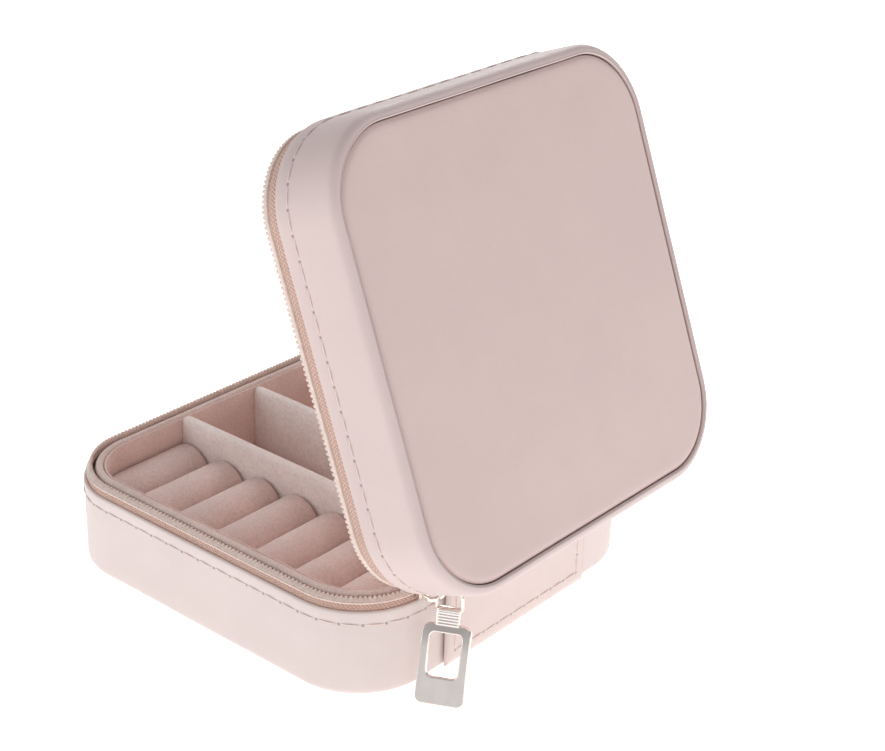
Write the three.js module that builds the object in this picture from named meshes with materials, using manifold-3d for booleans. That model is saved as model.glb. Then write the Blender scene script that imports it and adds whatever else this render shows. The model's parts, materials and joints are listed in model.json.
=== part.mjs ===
// Small square travel jewellery box with a zip-round lid, standing open.
// Millimetres, +Z up. The origin is the middle of the base's underside. The hinge is at +Y, the lid
// opens from -Y, and the ring rolls are on the +X side. Every lid piece is drawn where it lies when
// the box is shut, and the lid's group then turns it up about the hinge.
import * as THREE from 'three';
import { mergeVertices } from 'three/addons/utils/BufferGeometryUtils.js';
import Module from 'manifold-3d';

const wasm = await Module();
wasm.setup();

// ---- Driving dimensions -------------------------------------------------------------------------
const HALF = 50;               // half the outer width and depth
const CORNER_RADIUS = 18.4;    // outer corners, seen from above
const EDGE_RADIUS = 2.0;       // rounded edge round the lid's face and round the underside
const GAP = 0.3;               // clearance between pieces that touch

const BASE_COVER_TOP = 21.3;   // folded top edge of the base's leather
const ZIP_PLANE = 24.2;        // where the two rows of zip teeth meet; the hinge is in it too
const LID_COVER_EDGE = 30.4;   // folded lower edge of the lid's leather, lid shut
const LID_TOP = 47.1;          // top face of the lid, lid shut
const LID_OPEN_ANGLE = 69;     // degrees the lid stands open

const LEATHER = 1.0;
const BOARD = 1.6;             // greyboard that stiffens the walls
const BOARD_OFFSET = 2.0;      // outer face of the wall boards, in from the outer size
const TAPE_OFFSET = 1.2;
const TAPE = 0.5;
const COIL_OFFSET = 1.3;
const COIL_WIDTH = 1.6;
const COIL_HEIGHT = 2.15;
const COIL_SHY = 0.15;         // each row of teeth stops this far from the zip plane
const LINING_OFFSET = 4.4;     // outer face of the velvet-covered inner walls
const LINING = 0.7;
const TRAY_RIM = 24.2;         // top of the tray's inner wall
const LID_RIM = 27.0;          // lower edge of the lid's inner wall

const PANEL_HALF = HALF - EDGE_RADIUS - GAP;   // leather panels set inside the rounded edges
const BOTTOM_BOARD_TOP = 3.3;
const FLOOR_TOP = 4.4;

const ROLL_COUNT = 8;
const ROLL_PITCH = 12.4;
const ROLL_TOP = 18.8;
const ROLL_SHIFT = 3.0;        // the row of rolls starts this far back from an even spacing
const RING_WALL_FACE = 13.7;   // ring side of the wall that the rolls end at
const RING_WALL = 3.5;
const RING_WALL_TOP = 23.2;
const LIFT_WALL_FACE = -11.1;  // +X face of the lift-out divider
const LIFT_WALL = 3.0;
const LIFT_WALL_TOP = 22.8;

const HINGE_PANEL_HALF = 25;   // leather hinge strip, half its width
const HINGE_BEND_BELOW = 1.0;  // flat of the strip stops this far below the hinge
const HINGE_BEND_ABOVE = 1.6;
const HINGE_PANEL_FOOT = 1.0;
const HINGE_PANEL_HEAD = 42.6;

const ZIP_END = 28.0;          // the zip's teeth end this far each side of the middle of the back
const LID_ZIP_START = 35;      // degrees round the corner where the lid's zip leaves the slider
const SLIDER_HALF_ANGLE = 13;  // half the slider's length, as an angle about the corner's centre
const SLIDER_HALF_HEIGHT = 2.7;

const RING_WIDTH = 7.2;
const RING_HEIGHT = 6.2;
const RING_WIRE = 0.9;
const RING_CENTRE = new THREE.Vector3(29.4, 55.4, 22.0);
const PULL_TWIST = 27;         // degrees the hanging pull is turned from square to the back wall
const TAB_LEAN = 22;           // degrees the tab leans out, its lower edge just above the ground
const TAB_WIDTH = 10.8;
const TAB_LENGTH = 17.5;
const TAB_THICKNESS = 1.2;

const STRAP_SPACING = 24;
const STRAP_WIDTH = 8;

const rad = THREE.MathUtils.degToRad;
const CORNER_CENTRE = HALF - CORNER_RADIUS;

// ---- Materials ----------------------------------------------------------------------------------
const finish = (color, roughness, metalness = 0) =>
  () => new THREE.MeshStandardMaterial({ color, roughness, metalness });
const leather = finish(0xe9d3ce, 0.5);
const velvet = finish(0xd0b3a9, 0.95);
const board = finish(0xb9ab98, 0.9);
const foam = finish(0xefe8e0, 0.9);
const tape = finish(0xe6bfae, 0.85);
const nylon = finish(0xe8c9bb, 0.45);
const metal = finish(0xcfc9c2, 0.22, 1);
const elastic = finish(0xd9bdb3, 0.8);

// ---- Solids -------------------------------------------------------------------------------------
function toSolid(geometry) {
  geometry.deleteAttribute('normal');
  geometry.deleteAttribute('uv');
  const merged = mergeVertices(geometry, 1e-4);
  return new wasm.Manifold(new wasm.Mesh({
    numProp: 3,
    vertProperties: new Float32Array(merged.getAttribute('position').array),
    triVerts: new Uint32Array(merged.index.array),
  }));
}

function toGeometry(solid) {
  const mesh = solid.getMesh();
  const geometry = new THREE.BufferGeometry();
  geometry.setAttribute('position', new THREE.BufferAttribute(mesh.vertProperties, 3));
  geometry.setIndex(new THREE.BufferAttribute(mesh.triVerts, 1));
  geometry.computeVertexNormals();
  return geometry;
}

function roundedRect(halfX, halfY, radius, centreX = 0, centreY = 0) {
  const shape = new THREE.Shape();
  const [x, y] = [halfX - radius, halfY - radius];
  const corners = [[x, -y], [x, y], [-x, y], [-x, -y]];
  shape.moveTo(centreX + x, centreY - halfY);
  corners.forEach(([cx, cy], i) => {
    const start = (i - 1) * Math.PI / 2;
    shape.absarc(centreX + cx, centreY + cy, radius, start, start + Math.PI / 2, false);
  });
  shape.closePath();
  return shape;
}

function polygon(points) {
  return new THREE.Shape(points.map(([x, y]) => new THREE.Vector2(x, y)));
}

// A shape in the XY plane, raised from z0 to z1.
function raised(shape, z0, z1, curveSegments = 6) {
  const geometry = new THREE.ExtrudeGeometry(shape,
    { depth: z1 - z0, bevelEnabled: false, curveSegments });
  return toSolid(geometry.translate(0, 0, z0));
}

// The same with its top and bottom edges rounded.
function cushioned(shape, z0, z1, edge, curveSegments = 6) {
  const geometry = new THREE.ExtrudeGeometry(shape, {
    depth: z1 - z0 - 2 * edge, bevelThickness: edge, bevelSize: edge, bevelOffset: -edge,
    bevelSegments: 3, curveSegments,
  });
  return toSolid(geometry.translate(0, 0, z0 + edge));
}

function box(x0, x1, y0, y1, z0, z1) {
  const geometry = new THREE.BoxGeometry(x1 - x0, y1 - y0, z1 - z0);
  return toSolid(geometry.translate((x0 + x1) / 2, (y0 + y1) / 2, (z0 + z1) / 2));
}

// The box's outline, moved inwards by an offset.
const outline = (offset) => roundedRect(HALF - offset, HALF - offset, CORNER_RADIUS - offset);
const plate = (offset, z0, z1) => raised(outline(offset), z0, z1);
const wall = (offset, thickness, z0, z1) =>
  plate(offset, z0, z1).subtract(plate(offset + thickness, z0 - 1, z1 + 1));

// ---- Node helpers -------------------------------------------------------------------------------
function node(name, solid, material) {
  const mesh = new THREE.Mesh(toGeometry(solid), material());
  mesh.name = name;
  return mesh;
}

// ---- Leather shells -----------------------------------------------------------------------------
// The side walls of a leather half-box: a rounded edge at one end and a folded edge at the other.
function sideCover(z0, z1, cutZ0, cutZ1) {
  const outer = cushioned(outline(0), z0, z1, EDGE_RADIUS);
  const inner = cushioned(outline(LEATHER), z0 + LEATHER, z1 - LEATHER, EDGE_RADIUS - LEATHER);
  return outer
    .subtract(inner)
    .subtract(plate(EDGE_RADIUS, z0 - 1, z1 + 1))
    .subtract(box(-HALF - 1, HALF + 1, -HALF - 1, HALF + 1, cutZ0, cutZ1));
}

// ---- Base ---------------------------------------------------------------------------------------
function baseShell() {
  const boardTop = BASE_COVER_TOP - GAP;
  return [
    node('base_side_cover', sideCover(0, LID_TOP, BASE_COVER_TOP, LID_TOP + 1), leather),
    node('base_bottom_cover', raised(roundedRect(PANEL_HALF, PANEL_HALF,
      CORNER_RADIUS - EDGE_RADIUS - GAP), 0, LEATHER), leather),
    node('base_wall_board', wall(BOARD_OFFSET, BOARD, LEATHER + GAP, boardTop), board),
    node('base_bottom_board', plate(BOARD_OFFSET + BOARD + GAP, LEATHER + GAP, BOTTOM_BOARD_TOP),
      board),
    node('hinge_panel_lower', box(-HINGE_PANEL_HALF, HINGE_PANEL_HALF, HALF + GAP,
      HALF + GAP + LEATHER, HINGE_PANEL_FOOT, ZIP_PLANE - HINGE_BEND_BELOW), leather),
  ];
}

function tray() {
  const wallFoot = BOTTOM_BOARD_TOP + GAP;
  const pieceFoot = FLOOR_TOP + GAP;
  const innerHalf = HALF - LINING_OFFSET - LINING - GAP;
  return [
    node('tray_wall', wall(LINING_OFFSET, LINING, wallFoot, TRAY_RIM), velvet),
    node('tray_floor', plate(LINING_OFFSET + LINING + GAP, wallFoot, FLOOR_TOP), velvet),
    node('ring_section_wall', dividerWall(RING_WALL_FACE, RING_WALL, innerHalf, pieceFoot,
      RING_WALL_TOP), velvet),
    node('lift_out_divider', dividerWall(LIFT_WALL_FACE, LIFT_WALL, innerHalf, pieceFoot,
      LIFT_WALL_TOP), velvet),
    ...ringRolls(pieceFoot),
  ];
}

// A padded wall across the tray, from front to back, with a rounded top.
function dividerWall(face, thickness, half, z0, z1) {
  const r = thickness / 2;
  const section = new THREE.Shape();
  section.moveTo(face - thickness, z0);
  section.lineTo(face, z0);
  section.absarc(face - r, z1 - r, r, 0, Math.PI, false);
  section.closePath();
  return alongY(section, -half, half);
}

// A section drawn in X and Z, run along Y.
function alongY(section, y0, y1) {
  const geometry = new THREE.ExtrudeGeometry(section,
    { depth: y1 - y0, bevelEnabled: false, curveSegments: 5 });
  return toSolid(geometry.rotateX(Math.PI / 2).translate(0, y1, 0));
}

// A section drawn in Y and Z, run along X.
function alongX(section, x0, x1) {
  const geometry = new THREE.ExtrudeGeometry(section,
    { depth: x1 - x0, bevelEnabled: false, curveSegments: 6 });
  return toSolid(geometry.rotateX(Math.PI / 2).rotateZ(Math.PI / 2).translate(x0, 0, 0));
}

// Foam rolls side by side; rings are pushed into the slots between them. The first and the last
// are cut short by the front and back walls.
function ringRolls(foot) {
  const radius = (ROLL_PITCH - GAP) / 2;
  const inside = plate(LINING_OFFSET + LINING + GAP, foot - 1, ROLL_TOP + 1);
  return Array.from({ length: ROLL_COUNT }, (_, i) => {
    const y = (i - (ROLL_COUNT - 1) / 2) * ROLL_PITCH + ROLL_SHIFT;
    const section = new THREE.Shape();
    section.moveTo(y - radius, foot);
    section.lineTo(y + radius, foot);
    section.absarc(y, ROLL_TOP - radius, radius, 0, Math.PI, false);
    section.closePath();
    const roll = alongX(section, RING_WALL_FACE + GAP, HALF).intersect(inside);
    return node(`ring_roll_${i + 1}`, roll, foam);
  });
}

// ---- Zip ----------------------------------------------------------------------------------------
// Half of the zip: its tape behind the leather and its row of nylon teeth at the zip plane.
function zipHalf(prefix, tapeZ0, tapeZ1, coilZ0, gapAtBack) {
  const tapeRing = wall(TAPE_OFFSET, TAPE, tapeZ0, tapeZ1).subtract(gapAtBack);
  const coilRing = wall(COIL_OFFSET, COIL_WIDTH, coilZ0, coilZ0 + COIL_HEIGHT).subtract(gapAtBack);
  return [
    node(`${prefix}_zip_tape`, tapeRing, tape),
    node(`${prefix}_zip_teeth`, coilRing, nylon),
  ];
}

function baseZip() {
  const behindHinge = box(-ZIP_END, ZIP_END, HALF - 10, HALF + 1, 0, LID_TOP);
  const coilZ0 = ZIP_PLANE - COIL_SHY - COIL_HEIGHT;
  const stopHalf = 0.7;
  const stops = [-1, 1].map((side, i) => {
    const x = side * (ZIP_END - GAP - stopHalf);
    const y = HALF - COIL_OFFSET;
    return node(`zip_stop_${i + 1}`, box(x - stopHalf, x + stopHalf, y - COIL_WIDTH, y,
      coilZ0, ZIP_PLANE - COIL_SHY), metal);
  });
  return [...zipHalf('base', 13, coilZ0 - GAP, coilZ0, behindHinge), ...stops];
}

function lidZip() {
  const turn = rad(LID_ZIP_START);
  const reach = 40;
  const farX = CORNER_CENTRE + reach * Math.sin(turn);
  const farY = CORNER_CENTRE + reach * Math.cos(turn);
  const behindHinge = raised(polygon([[-ZIP_END, HALF - 10], [CORNER_CENTRE, CORNER_CENTRE],
    [farX, farY], [-ZIP_END, farY]]), 0, LID_TOP);
  const coilZ0 = ZIP_PLANE + COIL_SHY;
  return zipHalf('lid', coilZ0 + COIL_HEIGHT + GAP, 36.6, coilZ0, behindHinge);
}

// ---- Lid ----------------------------------------------------------------------------------------
const PAD_TOP = LID_TOP - 1.6;
const PAD = 1.0;
const LID_BOARD_TOP = PAD_TOP - PAD - GAP;
const LID_LINING_TOP = 42.2;
const CEILING = LID_LINING_TOP - LINING;       // velvet face inside the top of the lid

function lidShell() {
  const panel = roundedRect(PANEL_HALF, PANEL_HALF, CORNER_RADIUS - EDGE_RADIUS - GAP);
  const innerOffset = BOARD_OFFSET + BOARD + GAP;
  return [
    node('lid_side_cover', sideCover(0, LID_TOP, -1, LID_COVER_EDGE), leather),
    node('lid_face_panel', cushioned(panel, PAD_TOP + GAP, LID_TOP, 0.4), leather),
    node('lid_face_pad', plate(innerOffset - GAP, PAD_TOP - PAD, PAD_TOP), foam),
    node('lid_wall_board', wall(BOARD_OFFSET, BOARD, LID_COVER_EDGE + GAP, PAD_TOP - PAD - GAP),
      board),
    node('lid_top_board', plate(innerOffset, LID_LINING_TOP + GAP, LID_BOARD_TOP), board),
    node('hinge_panel_upper', box(-HINGE_PANEL_HALF, HINGE_PANEL_HALF, HALF + GAP,
      HALF + GAP + LEATHER, ZIP_PLANE + HINGE_BEND_ABOVE, HINGE_PANEL_HEAD), leather),
    node('lid_lining_wall', wall(LINING_OFFSET, LINING, LID_RIM, LID_LINING_TOP), velvet),
    node('lid_lining_panel', plate(LINING_OFFSET + LINING + GAP, CEILING, LID_LINING_TOP), velvet),
  ];
}

// Gathered elastic pocket on the hinge side of the lid's ceiling, lying flat while empty.
function lidPocket() {
  const [mouth, bandDepth, thickness] = [6, 3.5, 1.0];
  const inside = plate(LINING_OFFSET + LINING + 2 * GAP, 0, LID_TOP);
  const top = CEILING - GAP;
  const sheet = box(-HALF, HALF, mouth + bandDepth + GAP, HALF, top - thickness, top);
  const band = box(-HALF, HALF, mouth, mouth + bandDepth, top - thickness - 0.3, top);
  return [
    node('lid_pocket', sheet.intersect(inside), velvet),
    node('pocket_band', band.intersect(inside), elastic),
  ];
}

// Necklace straps: a leather tab sewn at the front of the lid, with a press stud at its free end.
const STRAP_TOP = CEILING - 1.2;
const STRAP = 0.8;
const STRAP_HINGE_Y = -39.15;
const STRAP_LENGTH = 23;
const STUD_Y = STRAP_HINGE_Y + STRAP_LENGTH - 4;

function disc(x, y, radius, z0, z1) {
  const geometry = new THREE.CylinderGeometry(radius, radius, z1 - z0, 20);
  return toSolid(geometry.rotateX(Math.PI / 2).translate(x, y, (z0 + z1) / 2));
}

function strapX(i) {
  return (i - 1) * STRAP_SPACING;
}

function strapFixings(i) {
  const [x, half] = [strapX(i), STRAP_WIDTH / 2];
  const anchor = box(x - half, x + half, STRAP_HINGE_Y - 4.5, STRAP_HINGE_Y - 0.45,
    STRAP_TOP - STRAP, CEILING - GAP);
  return [
    node(`strap_anchor_${i + 1}`, anchor, leather),
    node(`snap_stud_${i + 1}`, disc(x, STUD_Y, 2.0, STRAP_TOP + GAP, CEILING - GAP), metal),
  ];
}

function strap(i) {
  const [x, half] = [strapX(i), STRAP_WIDTH / 2];
  const tongue = new THREE.Shape();
  const [root, end] = [STRAP_HINGE_Y + 0.15, STRAP_HINGE_Y + STRAP_LENGTH];
  tongue.moveTo(x + half, root);
  tongue.absarc(x, end - half, half, 0, Math.PI, false);
  tongue.lineTo(x - half, root);
  tongue.closePath();
  const capTop = STRAP_TOP - STRAP - GAP;
  return [
    node(`necklace_strap_${i + 1}`, raised(tongue, STRAP_TOP - STRAP, STRAP_TOP), leather),
    node(`snap_cap_${i + 1}`, disc(x, STUD_Y, 3.0, capTop - 0.8, capTop), metal),
  ];
}

// ---- Zip slider and pull ------------------------------------------------------------------------
// A length of ring about the corner's centre, between two angles measured from +Y towards +X.
function sector(inner, outer, from, to) {
  const [a, b] = [Math.PI / 2 - rad(to), Math.PI / 2 - rad(from)];
  const shape = new THREE.Shape();
  shape.absarc(CORNER_CENTRE, CORNER_CENTRE, outer, a, b, false);
  shape.absarc(CORNER_CENTRE, CORNER_CENTRE, inner, b, a, true);
  shape.closePath();
  return shape;
}

function slider() {
  const [z0, z1] = [ZIP_PLANE - SLIDER_HALF_HEIGHT, ZIP_PLANE + SLIDER_HALF_HEIGHT];
  const coilOuter = CORNER_RADIUS - COIL_OFFSET;
  const coilInner = coilOuter - COIL_WIDTH;
  const [channelOuter, channelInner] = [coilOuter + 0.65, coilInner - 0.4];
  const face = channelOuter + 1.4;
  const frontPlate = raised(sector(channelOuter, face, -SLIDER_HALF_ANGLE, SLIDER_HALF_ANGLE), z0, z1);
  const backPlate = raised(sector(channelInner - 0.5, channelInner, -SLIDER_HALF_ANGLE,
    SLIDER_HALF_ANGLE), z0, z1);
  const wedge = raised(sector(channelInner - 0.2, channelOuter + 0.3, 2, 11),
    ZIP_PLANE + 0.2, ZIP_PLANE + 1.9);
  return node('slider_body', frontPlate.add(backPlate).add(wedge), metal);
}

// A flat arch over the slider's face. The ring hangs from its bar.
const BRIDGE_BAR_Y = 53.75;
const BRIDGE_BAR = 0.8;
const BRIDGE_HEIGHT = 1.1;
const BRIDGE_HALF_LENGTH = 3.4;
const BRIDGE_Z = 22.65;

function sliderBridge() {
  const foot = CORNER_CENTRE + CORNER_RADIUS - COIL_OFFSET + 0.65 + 1.4 + 0.15;
  const leg = 1.1;
  const top = BRIDGE_BAR_Y + BRIDGE_BAR / 2;
  const [x0, x1] = [CORNER_CENTRE - BRIDGE_HALF_LENGTH, CORNER_CENTRE + BRIDGE_HALF_LENGTH];
  const arch = polygon([[x0, foot], [x0 + leg, foot], [x0 + leg, top - BRIDGE_BAR],
    [x1 - leg, top - BRIDGE_BAR], [x1 - leg, foot], [x1, foot], [x1, top - 0.5],
    [x1 - 0.7, top], [x0 + 0.7, top], [x0, top - 0.5]]);
  return node('slider_bridge', raised(arch, BRIDGE_Z - BRIDGE_HEIGHT / 2,
    BRIDGE_Z + BRIDGE_HEIGHT / 2), metal);
}

// The ring and the tab are drawn flat, width along X and length along Y, and then stood up.
function pullRing() {
  const outer = roundedRect(RING_WIDTH / 2, RING_HEIGHT / 2, 2.0);
  const hole = roundedRect(RING_WIDTH / 2 - RING_WIRE, RING_HEIGHT / 2 - RING_WIRE, 1.1);
  return node('pull_ring', raised(outer, -RING_WIRE / 2, RING_WIRE / 2, 4)
    .subtract(raised(hole, -RING_WIRE, RING_WIRE, 4)), metal);
}

// The origin of the link and the tab is the middle of the ring's lower wire.
const LINK_WIDTH = 4.8;
const LINK_WALL = 0.55;
const LINK_BORE = RING_WIRE + 2 * GAP;
const LINK_LENGTH = 2.6;

function pullLink() {
  const half = LINK_BORE / 2 + LINK_WALL;
  const body = box(-LINK_WIDTH / 2, LINK_WIDTH / 2, -LINK_LENGTH, half, -half, half);
  const bore = box(-LINK_WIDTH, LINK_WIDTH, -LINK_BORE / 2, LINK_BORE / 2, -LINK_BORE / 2,
    LINK_BORE / 2);
  return node('pull_link', body.subtract(bore), metal);
}

function pullTab() {
  const top = -LINK_LENGTH - GAP;
  const [frame, windowLength] = [2.0, 9.6];
  const outer = roundedRect(TAB_WIDTH / 2, TAB_LENGTH / 2, 1.6, 0, top - TAB_LENGTH / 2);
  const hole = roundedRect(TAB_WIDTH / 2 - frame, windowLength / 2, 1.0, 0,
    top - frame - windowLength / 2);
  const blank = cushioned(outer, -TAB_THICKNESS / 2, TAB_THICKNESS / 2, 0.3, 4);
  return node('pull_tab', blank.subtract(raised(hole, -TAB_THICKNESS, TAB_THICKNESS, 4)), metal);
}

// ---- Assembly -----------------------------------------------------------------------------------
const jewelleryBox = new THREE.Group();
jewelleryBox.add(...baseShell(), ...tray(), ...baseZip());
jewelleryBox.add(slider(), sliderBridge());

const lid = new THREE.Group();
lid.add(...lidShell(), ...lidZip(), ...lidPocket());
for (let i = 0; i < 3; i += 1) lid.add(...strapFixings(i), ...strap(i));
lid.position.set(0, -HALF, -ZIP_PLANE);

const lidHinge = new THREE.Group();
lidHinge.position.set(0, HALF, ZIP_PLANE);
lidHinge.rotation.x = -rad(LID_OPEN_ANGLE);
lidHinge.add(lid);
jewelleryBox.add(lidHinge);

const pull = new THREE.Group();
pull.position.copy(RING_CENTRE);
pull.rotation.z = rad(90 + PULL_TWIST);
const uprightRing = new THREE.Group();
uprightRing.rotation.x = Math.PI / 2;
uprightRing.add(pullRing());
const tabHang = new THREE.Group();
tabHang.position.z = -(RING_HEIGHT - RING_WIRE) / 2;
tabHang.rotation.x = Math.PI / 2 - rad(TAB_LEAN);
tabHang.add(pullLink(), pullTab());
pull.add(uprightRing, tabHang);
jewelleryBox.add(pull);

export default jewelleryBox;
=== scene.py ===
import json
import math

import bmesh
import bpy
from mathutils import Matrix, Vector, noise


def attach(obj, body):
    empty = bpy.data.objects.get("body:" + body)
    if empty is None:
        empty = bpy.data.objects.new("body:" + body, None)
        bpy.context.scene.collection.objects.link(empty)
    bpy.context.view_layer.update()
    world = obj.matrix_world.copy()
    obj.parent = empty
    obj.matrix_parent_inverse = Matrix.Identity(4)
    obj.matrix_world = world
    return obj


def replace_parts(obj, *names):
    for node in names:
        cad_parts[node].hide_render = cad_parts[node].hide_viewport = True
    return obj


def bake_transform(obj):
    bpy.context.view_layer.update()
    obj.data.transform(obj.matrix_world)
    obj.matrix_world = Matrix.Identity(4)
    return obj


# The looks of a small zip-round travel jewellery box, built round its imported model. Lengths are in
# millimetres until a mesh is made, which is in metres. Lid pieces are drawn where they lie when the
# box is shut, and are then turned up to where the lid stands. A section is a list of (offset, z)
# points, where the offset is the distance in from the box's outer side.
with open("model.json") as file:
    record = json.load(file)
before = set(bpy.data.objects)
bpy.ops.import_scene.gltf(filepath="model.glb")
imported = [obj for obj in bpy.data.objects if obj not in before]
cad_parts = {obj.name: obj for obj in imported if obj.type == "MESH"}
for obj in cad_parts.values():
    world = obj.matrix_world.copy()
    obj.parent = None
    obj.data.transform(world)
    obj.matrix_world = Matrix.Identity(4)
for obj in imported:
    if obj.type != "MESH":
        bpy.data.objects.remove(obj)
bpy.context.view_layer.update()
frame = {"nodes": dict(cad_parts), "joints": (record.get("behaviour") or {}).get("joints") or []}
MM = 0.001


# ---- Sizes taken from the frame ----
def joint(name):
    return next(j for j in frame["joints"] if j["name"] == name)


hinge = joint("lid_hinge")
HINGE = Vector(hinge["pos_m"]) / MM
LID_OPEN = math.radians(-hinge["range_deg"][0])
LID_TURN = Matrix.Translation(HINGE) @ Matrix.Rotation(-LID_OPEN, 4, "X") @ Matrix.Translation(-HINGE)
ZIP_PLANE = HINGE.z
SLIDER_AXIS = Vector(joint("zip_travel")["pos_m"]) / MM
PULL_PIVOT = Vector(joint("pull_swing")["pos_m"]) / MM
PULL_ACROSS = Vector(joint("pull_swing")["axis"]).normalized()


def box_mm(node, turn=None):
    """Lowest and highest corner of a CAD node, after an optional turn."""
    points = [v.co / MM for v in frame["nodes"][node].data.vertices]
    if turn:
        points = [turn @ p for p in points]
    low = Vector([min(p[k] for p in points) for k in range(3)])
    high = Vector([max(p[k] for p in points) for k in range(3)])
    return low, high


def shut_box(node):
    """The same for a lid node, in the place it has when the box is shut."""
    return box_mm(node, LID_TURN.inverted())


HALF = box_mm("base_side_cover")[1].x
BASE_COVER_TOP = box_mm("base_side_cover")[1].z
LID_EDGE = shut_box("lid_side_cover")[0].z
LID_TOP = shut_box("lid_side_cover")[1].z
CORNER_RADIUS = HALF - SLIDER_AXIS.x
TRAY_RIM = box_mm("tray_wall")[1].z
TRAY_FOOT = box_mm("tray_wall")[0].z
LID_RIM = shut_box("lid_lining_wall")[0].z
CEILING = shut_box("lid_lining_panel")[0].z

# ---- Driving dimensions ----
EDGE_RADIUS = 2.0        # rounded edge round the lid's face and round the underside
LEATHER = 1.0
FOLD_RADIUS = 0.52       # the folded edge of a cover
FOLD_PROUD = 0.08        # how far the fold stands out from the cover's side
LID_MIDDLE = 38.0        # height of the middle of the lid's side, when the lid is shut
SIDE = HALF - CORNER_RADIUS              # half the straight length of a side
QUARTER = CORNER_RADIUS * math.pi / 2
PERIMETER = 8 * SIDE + 4 * QUARTER

STITCH_PITCH = 5.15
STITCH_COUNT = round(PERIMETER / STITCH_PITCH)
EVEN_PITCH = PERIMETER / STITCH_COUNT
BASE_STITCH_Z = BASE_COVER_TOP - 3.1
LID_STITCH_Z = LID_EDGE + 3.7
HOLE_RADIUS = 0.3
# How much painted shade darkens the needle holes.
HOLE_PAINTED_SHADE = 0.6
THREAD_RADIUS = 0.20
STITCH_HOLLOW = 0.10     # how far a row of stitches pulls the covers in
STITCH_HEIGHT = 0.31     # how high a stitch arches between its two holes
STITCH_DIP = 0.17        # how deep its ends dip into them
STITCH_GAP = 0.16        # how far inside the pitch a stitch starts and ends

COIL_PITCH = 1.12
TAPE_THICKNESS = 0.45
COVER_WOBBLE = 0.10      # slow waviness of the glued leather
BASE_SEED = 2.0
LID_SEED = 5.0
ZIP_END = 28.0           # the zip's teeth end this far each side of the middle of the back
RIM_OUTER = 2.86         # the two offsets between which the covered rims lie
RIM_INNER = 4.72
LINING_OUTER = 4.80      # back of the velvet walls, in from the outer size
INNER_OFFSET = 5.1       # inner face of the velvet tray wall, in from the outer size
PIECE_OFFSET = 5.45      # what stands inside the tray keeps clear of its wall
POCKET_OFFSET = PIECE_OFFSET + 0.2
POCKET_REACH = HALF - PIECE_OFFSET - 0.2

WALL_PADDING = 0.85      # how far the dividers' soft tops stand above their cores

HINGE_HALF = 25.0
HINGE_RISE = 0.8         # the hinge strip's middle layer, out from the back faces
HINGE_STITCH_INSET = 3.0
HINGE_STITCH_RISE = LEATHER / 2 - 0.06   # the floor of the pulled-in rows, out from the middle


# ---- Geometry ----
def place(s, offset=0.0, z=0.0):
    """A point at length s round the box's outline, moved in by an offset. s is 0 in the middle of
    the back and grows towards +X."""
    point, normal, _ = station(s)
    return Vector((point.x - normal.x * offset, point.y - normal.y * offset, z))


def station(s):
    """Outer point, outward normal and direction of travel at length s round the outline."""
    s = s % PERIMETER
    quarter_turn, rest = divmod(s + SIDE, 2 * SIDE + QUARTER)
    if rest <= 2 * SIDE:
        local = Vector((rest - SIDE, HALF, 0))
        normal = Vector((0, 1, 0))
    else:
        angle = (rest - 2 * SIDE) / CORNER_RADIUS
        normal = Vector((math.sin(angle), math.cos(angle), 0))
        local = Vector((SIDE, SIDE, 0)) + normal * CORNER_RADIUS
    turn = Matrix.Rotation(-quarter_turn * math.pi / 2, 3, "Z")
    along = turn @ Vector((normal.y, -normal.x, 0))
    return turn @ local, turn @ normal, along


def steps(start, end, longest):
    """Evenly spaced numbers from start to end, both included."""
    count = max(1, math.ceil((end - start) / longest))
    return [start + (end - start) * i / count for i in range(count + 1)]


def arc(centre, radius, start, end, count=6):
    """Points on an arc in a plane, with angles in degrees."""
    angles = [math.radians(start + (end - start) * i / count) for i in range(count + 1)]
    return [(centre[0] + radius * math.cos(a), centre[1] + radius * math.sin(a)) for a in angles]


def angles(count):
    """Evenly spaced angles round a full turn."""
    return [2 * math.pi * k / count for k in range(count)]


def headings(line, closed=False):
    """The direction of travel at each point of a line."""
    line = [Vector(point) for point in line]
    last = len(line) - 1
    found = []
    for i in range(len(line)):
        ahead = line[(i + 1) % len(line)] if closed else line[min(i + 1, last)]
        behind = line[i - 1] if closed else line[max(i - 1, 0)]
        found.append((ahead - behind).normalized())
    return found


def lengths(points, closed=False):
    """Distance run at each point of a line, and at the first point again if it is closed."""
    line = [Vector(p) for p in points]
    line = line + line[:1] if closed else line
    run = [0.0]
    for a, b in zip(line, line[1:]):
        run.append(run[-1] + (b - a).length)
    return run


def smoothstep(low, high, value):
    t = min(1.0, max(0.0, (value - low) / (high - low)))
    return t * t * (3 - 2 * t)


def soft_noise(point, wavelength, seed=0.0):
    return noise.noise(Vector(point) / wavelength + Vector((seed, 1.7 * seed, 0.3 * seed)))


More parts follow.
